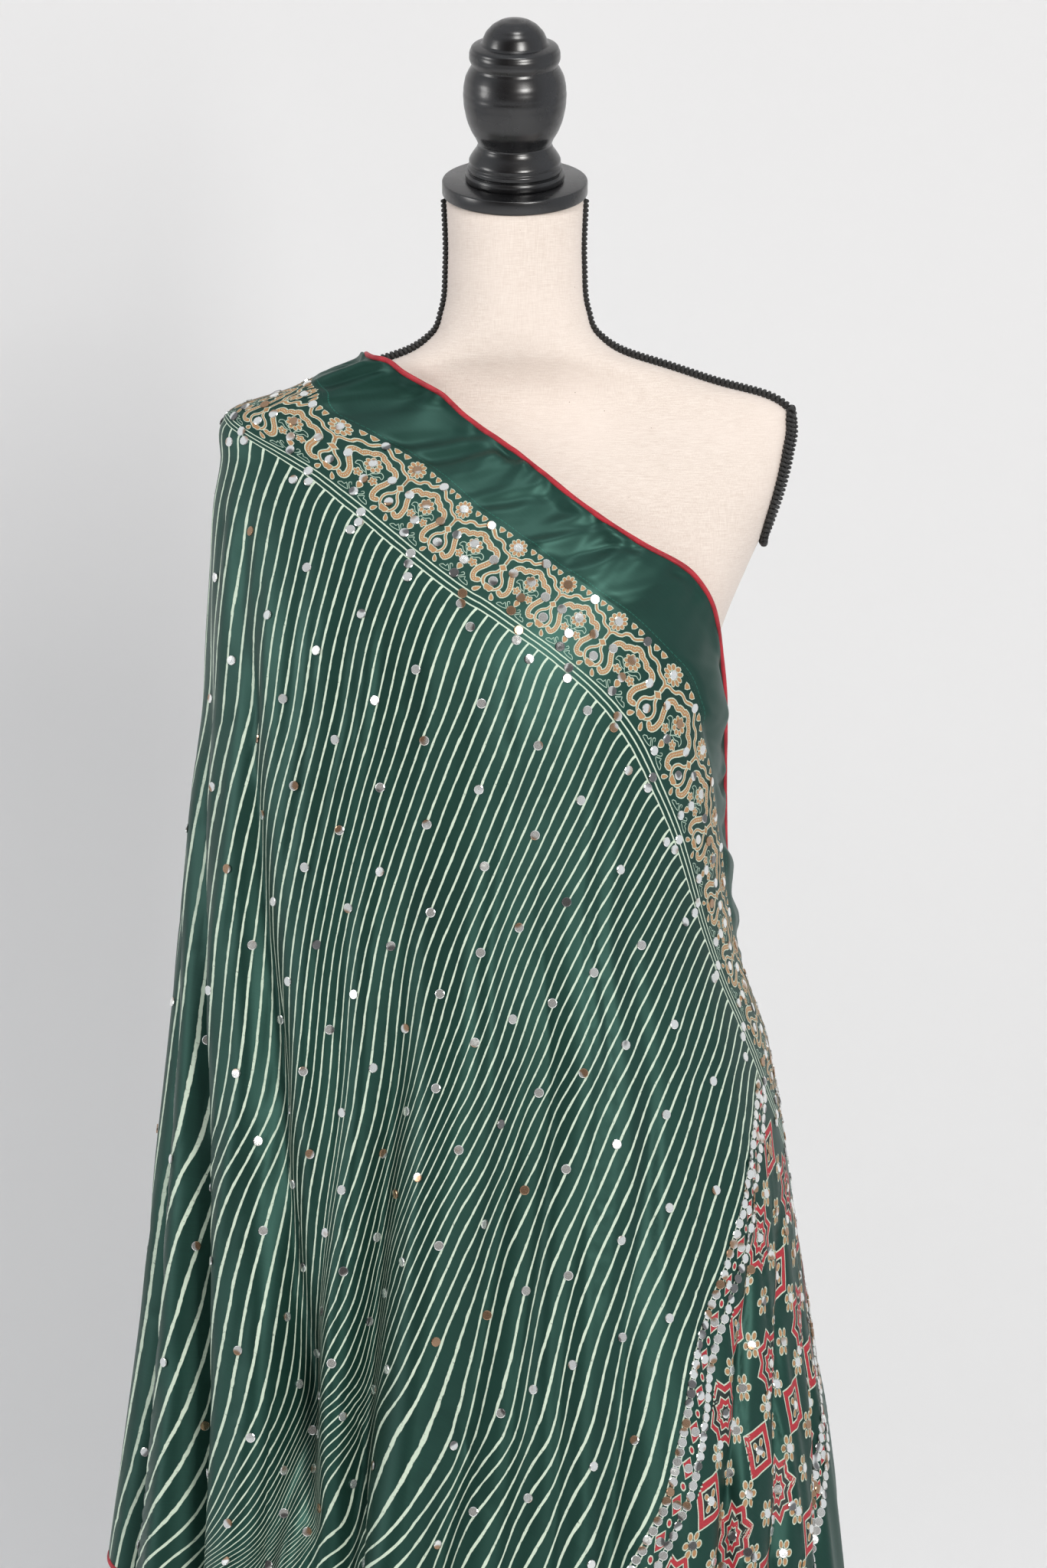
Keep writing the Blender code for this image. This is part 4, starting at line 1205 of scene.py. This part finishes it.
def band_print(cloth):
    """Cross bands with cream double lines, red diamonds and red dots, and the strip at the free end."""
    whole = Print()

    def straight_line(s, low_v, width):
        v = np.arange(low_v, FIELD_V[1], 2.0)
        whole.stroke(np.stack([np.full_like(v, s), v], axis=1), width, "cream", 0)

    for middle in CROSS_BANDS:
        for away in BAND_LINES:
            straight_line(middle + away, FIELD_V[0] - 4, 1.1)
        for k, v in enumerate(np.arange(FIELD_V[0] + 8, FIELD_V[1] - 8, 13.0)):
            if k % 2 == 0:
                whole.outlined(densify(diamond(*BAND_DIAMOND) + (middle, v)), "red", 0.9, "cream", 0)
            else:
                whole.outlined(ring((middle, v), 1.9, 8), "red", 1.0, "cream", 0)
    for v in np.arange(12.0, FIELD_V[1] - 8, 14.0):
        whole.outlined(densify(diamond(*LEAF_LENGTHS) + (LEAF_S, v)), "tan", 0.9, "cream", 0)
        for side in (-1, 1):
            triangle = np.array(((-3.0 * side, 0.0), (3.2 * side, -3.6), (3.2 * side, 3.6)))
            placed = triangle + (LEAF_S + side * 9.5, v + 7.0)
            whole.outlined(densify(placed), "red", 0.6, "cream", 0)
    for s in STRIP_EDGES:
        straight_line(s, 6.0, 1.2)
    return whole.build("saree_band_print", cloth, 1.0, SWEEP_MM)


# Small round mirrors glued to the cloth
MIRROR_RADIUS = 3.35
MIRROR_RINGS = ((MIRROR_RADIUS - 0.45, 0.78), (MIRROR_RADIUS, 0.55), (MIRROR_RADIUS, -0.25))
MIRROR_SIDES = 12
MIRROR_TIP = 0.055
MIRROR_LIFT = 0.35
FIELD_MIRROR_PITCH = 53.0
BORDER_MIRRORS = (
    (0.0, 94.8), (0.0, 82.8), (0.8, 69.0), (-15.2, 71.6), (15.2, 71.6),
    (-REPEAT / 2, 84.8), (-REPEAT / 2, 54.4), (0.0, 51.6), (-13.3, 103.6), (-15.8, 110.4),
)
CROSS_MIRRORS = 9.2
EDGE_MARGIN = 6


def mirror_places():
    """The s and v of every mirror, in millimetres."""
    places = []
    for k in range(REPEATS):
        places += [(REPEAT * (k + 0.5) + away, v) for away, v in BORDER_MIRRORS]
    step_v = FIELD_MIRROR_PITCH * 0.86
    for row, v in enumerate(np.arange(118.0, CLOTH_WIDTH * 1000 - 10, step_v)):
        shift = FIELD_MIRROR_PITCH / 2 * (row % 2)
        first = PANEL_START * 1000 + 26 + shift
        for s in np.arange(first, SWEEP_MM - EDGE_MARGIN, FIELD_MIRROR_PITCH):
            places.append((s + random.uniform(-3, 3), v + random.uniform(-4, 4)))
    for middle in CROSS_BANDS:
        for v in np.arange(FIELD_V[0] + 2, FIELD_V[1], MIRROR_RADIUS * 2 + 0.3):
            for away, lower in ((-CROSS_MIRRORS, 0), (CROSS_MIRRORS, 2)):
                places.append((middle + away + random.uniform(-0.4, 0.4), v + lower))
        places += [(middle, v) for v in np.arange(FIELD_V[0] + 8, FIELD_V[1] - 8, 26.0)]
    for kind, s, v in panel_places():
        if FIELD_V[0] + 6 < v < FIELD_V[1] - 14 and PANEL_S[0] < s < PANEL_S[1]:
            places.append((s, v))
            if kind == "star":
                places += [(s - 22.5, v), (s, v + 22.5)]
    places = np.array(places)
    far_s, far_v = SWEEP_MM - EDGE_MARGIN, CLOTH_WIDTH * 1000 - EDGE_MARGIN
    inside = (places[:, 0] > EDGE_MARGIN) & (places[:, 0] < far_s) & (places[:, 1] < far_v)
    return places[inside]


def add_mirrors(name, centres, normals):
    """Thin discs with a lowered rim, each tipped a little its own way."""
    count = len(centres)
    normal = unit(normals + random.normal(0, MIRROR_TIP, (count, 3)))
    across = unit(np.cross(normal, np.array([0.0, 0.3, 1.0])))
    up = np.cross(normal, across)
    turn = 2 * math.pi * np.arange(MIRROR_SIDES) / MIRROR_SIDES
    circle = across[:, None] * np.cos(turn)[:, None] + up[:, None] * np.sin(turn)[:, None]
    points = [centres[:, None] + normal[:, None] * 0.80 * MM]
    for radius, height in MIRROR_RINGS:
        points.append(centres[:, None] + (circle * radius + normal[:, None] * height) * MM)
    points = np.concatenate(points, axis=1)
    per = points.shape[1]
    k = np.arange(MIRROR_SIDES)
    m = (k + 1) % MIRROR_SIDES
    triangles = [np.stack([np.zeros_like(k), 1 + k, 1 + m], axis=1)]
    for r in range(len(MIRROR_RINGS) - 1):
        low, high = 1 + r * MIRROR_SIDES, 1 + (r + 1) * MIRROR_SIDES
        triangles.append(np.stack([low + k, high + k, high + m], axis=1))
        triangles.append(np.stack([low + k, high + m, low + m], axis=1))
    faces = (np.vstack(triangles)[None] + (np.arange(count) * per)[:, None, None]).reshape(-1, 3)
    mesh_object(name, points, faces, [MIRROR_GLASS]).data.shade_flat()


# The pieces of cloth
DRAPE_COLUMNS = 432
BAND_ROWS = 23
BORDER_ROWS = 18
FIELD_ROWS = 208
PIPING_SIDES = 10
CORD_SINK = 0.0003


def grid_piece(name, grid, s, v, finish, flip=False):
    """A piece of cloth from rows of points, with the s of its columns and the v of its rows."""
    piece = mesh_object(name, grid, grid_faces(len(v), len(s), flip=flip), [finish])
    add_uv(piece, *np.meshgrid(s, v))
    return piece


def add_cloth():
    """The draped length of the saree: its plain band and its printed length."""
    s = np.linspace(0, SWEEP_END, 2 * DRAPE_COLUMNS + 1)
    first_v, last_v = PIPING_RADIUS * 0.6, CLOTH_WIDTH - PIPING_RADIUS * 0.6
    band_v = np.linspace(first_v, BAND_WIDTH, BAND_ROWS)
    border_v = np.linspace(BAND_WIDTH, BORDER_WIDTH, BORDER_ROWS)
    field_v = np.linspace(BORDER_WIDTH, last_v, FIELD_ROWS)
    cloth = Cloth(s, np.concatenate([band_v[:-1], border_v[:-1], field_v]))
    seam = BAND_ROWS - 1
    band = grid_piece(
        "saree_band_cloth", cloth.points[:seam + 1], s, cloth.v[:seam + 1], GREEN_SATIN
    )
    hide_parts("saree_plain_band")
    drape = grid_piece(
        "saree_drape_cloth", cloth.points[seam:, ::2], s[::2], cloth.v[seam:], PRINTED_SATIN
    )
    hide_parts("saree_shoulder_drape")
    return cloth, band, drape


def add_pipings():
    """The red cords along both long edges, facing out of the cloth."""
    s = np.linspace(0, SWEEP_END, 520)
    step = 0.0015
    for name, node, v in (
        ("saree_upper_cord", "saree_upper_piping", 0.0),
        ("saree_hem_cord", "saree_hem_piping", CLOTH_WIDTH),
    ):
        edge = np.full_like(s, v)
        path = cloth_point(s, edge)
        ds = cloth_point(s + step, edge) - cloth_point(s - step, edge)
        dv = cloth_point(s, edge + step) - cloth_point(s, edge - step)
        out = unit(np.cross(ds, dv))
        uneven = CORD_RADIUS * (1 + 0.07 * value_noise(s / 0.012, s * 0, 31))
        points, faces = cord_mesh(path - out * CORD_SINK, out, uneven, uneven, PIPING_SIDES)
        piece = mesh_object(name, points, faces, [RED_PIPING])
        add_uv(piece, np.repeat(s, PIPING_SIDES), np.tile(np.arange(PIPING_SIDES), len(s)) * MM)
        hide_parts(node)


def add_end_hems(cloth):
    """The rolled hems at the loose end and at the end of the sweep."""
    v = np.linspace(0.002, CLOTH_WIDTH - 0.002, 300)
    half_thick, half_wide, sides = 0.0009, 0.0012, 6
    for name, s in (("saree_end_hem", 0.0006), ("saree_sweep_hem", SWEEP_END - 0.0006)):
        on, out = cloth.at(np.full_like(v, s), v, np.zeros_like(v))
        points, faces = cord_mesh(on - out * CORD_SINK, out, half_thick, half_wide, sides)
        piece = mesh_object(name, points, faces, [GREEN_SATIN])
        add_uv(piece, np.full(len(points), 0.06), np.repeat(v, sides))


# The wrapped skirt and its pleats
def hanging_cloth(name, angle, z, stand, first_s):
    """Cloth hung from the waist, its rows of points standing off the skirt's section."""
    x, y, nx, ny = superellipse(angle, 0.0, *columns_at(z, SKIRT))
    grid = np.stack([x + nx * stand, y + ny * stand, z + STAND_LIFT], axis=-1)
    hem_steps = np.linalg.norm(np.diff(grid[-1], axis=0), axis=1)
    s = first_s + np.concatenate([[0], np.cumsum(hem_steps)])
    v = CLOTH_WIDTH + 0.02 - (z[:, 0] - SKIRT[0][0]) * 0.75
    return grid_piece(name, grid, s, v, PRINTED_SATIN, flip=True)


def add_skirt():
    """The wrapped skirt, its section rippled by waves that grow towards the hem."""
    angle = np.linspace(0, 2 * math.pi, SKIRT_WAVES * 14 + 1)
    angle, z = np.meshgrid(angle, np.linspace(SKIRT[-1][0], SKIRT[0][0], SKIRT_ROWS))
    wave = SKIRT_WAVE_TOP + (SKIRT_WAVE_HEM - SKIRT_WAVE_TOP) * smoothstep(-z, -0.95, 0.06)
    # The waves lie flatter under the pleats
    calm = 1 - 0.75 * np.exp(-((np.degrees(angle) - (PLEAT_FROM + PLEAT_TO) / 2) / 27) ** 4)
    stand = -wave * calm * (1 + np.cos(SKIRT_WAVES * angle))
    piece = hanging_cloth("saree_skirt_cloth", angle, z, stand, SKIRT_S)
    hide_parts("saree_skirt_wrap")
    return piece


def add_pleats():
    """The front pleats, folded like a saw's teeth and fanned out a little at the hem."""
    phase = np.linspace(0, PLEATS, PLEATS * 16 + 1)
    saw = np.interp(phase % 1.0, PLEAT_PHASES, PLEAT_HEIGHTS)
    phase, z = np.meshgrid(phase, np.linspace(PLEAT_TOP, SKIRT[0][0], SKIRT_ROWS))
    grow = smoothstep(-z, -0.98, 0.06)
    depth = PLEAT_DEPTH_TOP + (PLEAT_DEPTH_HEM - PLEAT_DEPTH_TOP) * grow
    spread = (PLEAT_TO - PLEAT_FROM) * (0.72 + 0.28 * grow)
    degrees = (PLEAT_FROM + PLEAT_TO) / 2 + spread * (phase / PLEATS - 0.5)
    stand = PLEAT_STAND + depth * saw
    piece = hanging_cloth("saree_pleat_cloth", np.radians(degrees), z, stand, SKIRT_S + 2)
    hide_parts("saree_front_pleats")
    return piece


# The dress form
def torso_point(angle, z, stand=0.0):
    power = 2.0 + 0.3 * (1 - smoothstep(z, 1.39, 1.43))
    x, y, nx, ny = superellipse(angle, 0.0, *columns_at(z, TORSO), power)
    x, y = x + nx * stand, y + ny * stand
    lean = smoothstep(z, TILT_FROM, TORSO[-1][0]) * math.tan(NECK_TILT)
    return np.stack([x, y, z + y * lean + STAND_LIFT], axis=-1)


def add_torso():
    """The padded body from its level sections, with the neck's top tilted."""
    angle = np.arange(TORSO_COLUMNS) * 2 * math.pi / TORSO_COLUMNS
    z = []
    for low, high in zip(TORSO, TORSO[1:]):
        z += list(np.linspace(low[0], high[0], 7)[:-1])
    grid = torso_point(*np.meshgrid(angle, np.array(z + [TORSO[-1][0]])[::-1]))
    # A narrower ring inside each end rounds its rim
    inside = [row.mean(axis=0) + (row - row.mean(axis=0)) * 0.5 for row in (grid[0], grid[-1])]
    levels = np.concatenate([inside[0][None], grid, inside[1][None]])
    faces = grid_faces(len(levels), TORSO_COLUMNS, around=True)
    piece = mesh_object("form_body", levels, faces, [CANVAS])
    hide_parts("form_torso")


def add_turned(name, node, profile, place):
    """A turned piece from radius and height pairs, listed from the bottom up."""
    fine = [profile[0]]
    for (r0, h0), (r1, h1) in zip(profile, profile[1:]):
        fine += [(r0 + (r1 - r0) * t, h0 + (h1 - h0) * t) for t in (0.5, 1.0)]
    turn = np.arange(TURNED_STEPS) * 2 * math.pi / TURNED_STEPS
    rows = [np.stack([r * np.cos(turn), r * np.sin(turn), np.full_like(turn, h)], axis=1) for r, h in fine]
    rows.insert(0, rows[0] * (0.02, 0.02, 1.0))
    placed = np.array(rows).reshape(-1, 3) @ np.array(place.to_3x3()).T + np.array(place.translation)
    faces = grid_faces(len(rows), TURNED_STEPS, around=True, flip=True)
    piece = mesh_object(name, placed, faces, [BLACK_GLOSS])
    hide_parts(node)


def add_stand():
    """The neck cap and finial on the tilted neck, the base, and the pole's finish."""
    neck_top = Vector((0, 0, TORSO[-1][0] + STAND_LIFT))
    tilt = Matrix.Rotation(NECK_TILT, 4, "X")
    up = tilt @ Vector((0, 0, 1))
    gap = 0.0003
    corner = ((CAP_ROUND, 0.0), (CAP_ROUND * 0.3, CAP_ROUND * 0.3), (0.0, CAP_ROUND))
    cap = [(CAP_RADIUS - inward, height) for inward, height in corner]
    cap += [(CAP_RADIUS - inward, CAP_THICK - height) for inward, height in corner[::-1]]
    cap.append((0.001, CAP_THICK))
    add_turned("form_cap_disc", "form_neck_cap", cap, Matrix.Translation(neck_top + up * gap) @ tilt)
    lifted = Matrix.Translation(neck_top + up * (gap + CAP_THICK)) @ tilt
    add_turned("form_turned_finial", "form_finial", smooth_profile(FINIAL), lifted)
    add_turned("form_round_base", "form_base", BASE, Matrix.Identity(4))
    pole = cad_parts["form_pole"]
    pole.data.materials.clear()
    pole.data.materials.append(BLACK_GLOSS)


def smooth_profile(profile):
    """A turned profile with its long curves rounded between the listed points."""
    line = np.array(profile) * 1000
    out = [line[0]]
    for k in range(1, len(line)):
        before = line[max(k - 2, 0)]
        after = line[min(k + 1, len(line) - 1)]
        for t in (0.34, 0.67, 1.0):
            straight = line[k - 1] * (1 - t) + line[k] * t
            bow = (line[k - 1] + line[k] - before - after) * (t * (1 - t)) * 0.5
            long_step = np.linalg.norm(line[k] - line[k - 1]) > 3.0
            out.append(straight + bow * (1.0 if long_step else 0.0))
    return [tuple(point * MM) for point in np.maximum(out, 0)]


# Gimp braid: two rows of cord rolls that lean against each other
ROLL_PITCH = 0.0033
ROLL_REACH = 0.0021
ROW_MIDDLE = 0.0019
STRAND_THICK = 0.0013
STRAND_SIDES = 6
ROLL_POINTS = 12
TAPE_THICK = 0.0011
TAPE_RISE = 0.0013


def resample(path, step):
    length = np.concatenate([[0], np.cumsum(np.linalg.norm(np.diff(path, axis=0), axis=1))])
    at = np.arange(0, length[-1], step)
    return np.stack([np.interp(at, length, path[:, axis]) for axis in range(3)], axis=1)


def add_braid(name, node, path, out_at):
    """Two rows of cord rolls along a path, each a coil pressed flat, over a narrow tape."""
    path = resample(path, ROLL_PITCH / ROLL_POINTS)
    out = out_at(path)
    along = unit(np.gradient(path, axis=0))
    side = np.cross(along, out)
    phase = np.arange(len(path)) / ROLL_POINTS * 2 * math.pi
    # The braid stands fuller along the shoulder than up the neck
    plump = 1 + 0.45 * smoothstep(STAND_LIFT + 1.42 - path[:, 2], 0, 0.03)
    parts = []
    for way in (1, -1):
        across = way * (ROW_MIDDLE + ROLL_REACH * np.sin(phase))
        lean = ROLL_PITCH * 0.30 * np.cos(phase + 0.4)
        rise = (0.0019 + 0.0010 * np.cos(phase)) * plump
        strand = path + side * across[:, None] + along * lean[:, None] + out * rise[:, None]
        parts.append(cord_mesh(strand, out, STRAND_THICK * 0.9 * plump, STRAND_THICK, STRAND_SIDES))
    tape_out = out[::ROLL_POINTS]
    tape, quads = cord_mesh(path[::ROLL_POINTS], tape_out, TAPE_THICK, ROW_MIDDLE + ROLL_REACH, STRAND_SIDES)
    parts.append((tape + np.repeat(tape_out, STRAND_SIDES, axis=0) * TAPE_RISE, quads))
    starts = np.cumsum([0] + [len(points) for points, _ in parts])
    points = np.vstack([points for points, _ in parts])
    faces = np.vstack([faces + start for (_, faces), start in zip(parts, starts)])
    piece = mesh_object(name, points, faces, [BLACK_BRAID])
    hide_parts(node)


def add_braids():
    """Braid down both sides of the neck and shoulder, and round the armhole."""
    for side, name in ((1, "right"), (-1, "left")):
        z = np.linspace(BRAID_TOP, BRAID_ENDS[name], 200)
        on = torso_point(np.full_like(z, 0.0 if side > 0 else math.pi), z)

        def side_out(path, side=side):
            return unit(np.cross(np.gradient(path, axis=0), np.array([0.0, 1.0, 0.0])) * side)

        add_braid("form_gimp_" + name, "form_braid_" + name, on, side_out)
    turn = np.linspace(0, 2 * math.pi, 200)
    z = ARMHOLE_MIDDLE + ARMHOLE_HALF_HEIGHT * np.cos(turn)
    angle = math.radians(ARMHOLE_HALF_ANGLE) * np.sign(np.sin(turn)) * np.abs(np.sin(turn)) ** 0.6
    on = torso_point(angle, z, stand=0.0003)

    def round_out(path):
        half, front, back = columns_at(path[:, 2] - STAND_LIFT, TORSO)
        depth = np.where(path[:, 1] < 0, front, back)
        return unit(np.stack([path[:, 0] / half ** 2, path[:, 1] / depth ** 2, 0 * half], axis=1))

    add_braid("form_gimp_armhole", "form_braid_armhole", on, round_out)


# The pieces
cloth, band, drape = add_cloth()
add_pipings()
add_end_hems(cloth)
border_print(cloth)
panel_print(cloth)
band_print(cloth)
places = mirror_places() * MM
on_cloth, facing = cloth.at(places[:, 0], places[:, 1], np.full(len(places), MIRROR_LIFT * MM))
add_mirrors("saree_mirrors", on_cloth, facing)
skirt = add_skirt()
pleats = add_pleats()
add_torso()
add_stand()
add_braids()


# Floor, backdrop, light and camera
def add_stage():
    """A pale floor that bends up into a wall behind the form."""
    depth, width, height, bend = 0.95, 3.2, 4.2, 0.5
    foot = depth - bend
    profile = [(-3.5, 0.0), (foot, 0.0)]
    for turn in np.linspace(0.1, math.pi / 2, 12):
        profile.append((foot + bend * math.sin(turn), bend - bend * math.cos(turn)))
    profile.append((depth, height))
    points = [(x, y, z) for x in (-width, width) for y, z in profile]
    mesh = bpy.data.meshes.new("backdrop")
    mesh.from_pydata(points, [], grid_faces(2, len(profile)).tolist())
    mesh.shade_smooth()
    backdrop = bpy.data.objects.new("backdrop", mesh)
    bpy.context.scene.collection.objects.link(backdrop)
    n = new_material("pale_backdrop")
    mottle = n.noise(n.object_vector(), 3.0, 3.0)
    # The wall is clear from its back side, so it hides nothing from there
    back_side = n.add("ShaderNodeNewGeometry").outputs["Backfacing"]
    colour = n.mix(mottle, (0.86, 0.86, 0.865), (0.88, 0.88, 0.885))
    mesh.materials.append(n.set(Base_Color=colour, Roughness=0.9, Alpha=n.math("SUBTRACT", 1.0, back_side)))


def add_light(name, place, target, size, power, colour):
    light = bpy.data.lights.new(name, "AREA")
    light.shape = "RECTANGLE"
    light.size, light.size_y = size
    light.energy = power
    light.color = colour
    lamp = bpy.data.objects.new(name, light)
    lamp.location = place
    lamp.rotation_euler = (Vector(target) - Vector(place)).to_track_quat("-Z", "Y").to_euler()
    bpy.context.scene.collection.objects.link(lamp)


def add_world():
    """A white studio that is darker behind the camera, where the mirrors look."""
    n = Nodes(bpy.data.worlds.new("studio"), "Background")
    direction = n.add("ShaderNodeTexCoord").outputs["Generated"]
    split = n.add("ShaderNodeSeparateXYZ", {"Vector": direction})
    colour = n.mix(n.step(split.outputs["Y"], -0.95, -0.35), (0.12, 0.10, 0.09), (0.92, 0.95, 1.0))
    bpy.context.scene.world = n.set(Color=colour, Strength=0.66)
    bpy.context.scene.view_settings.view_transform = "Standard"


def add_camera():
    """The camera at the photo's place, its frame given by its height at the target."""
    target = Vector((0.006, 0.0, 1.0905 + STAND_LIFT))
    distance, elevation = 4.0, math.radians(6)
    frame_height = 1.106
    lens = bpy.data.cameras.new("camera")
    lens.sensor_fit = "VERTICAL"
    lens.angle_y = 2 * math.atan(frame_height / 2 / distance)
    camera = bpy.data.objects.new("camera", lens)
    camera.location = target + Vector((0, -math.cos(elevation), math.sin(elevation))) * distance
    camera.rotation_euler = (target - camera.location).to_track_quat("-Z", "Y").to_euler()
    bpy.context.scene.collection.objects.link(camera)
    bpy.context.scene.camera = camera


add_stage()
add_world()
add_light("key", (0.97, -2.38, 1.87), (0, 0, 1.15), (0.72, 0.86), 44, (1.0, 0.98, 0.95))
add_light("side", (-2.7, -0.9, 1.75), (0, 0, 1.2), (0.8, 1.3), 22, (1.0, 0.98, 0.96))
add_light("top", (0.25, -1.2, 3.4), (0, 0, 1.35), (0.5, 0.5), 13, (1.0, 0.99, 0.97))
add_camera()
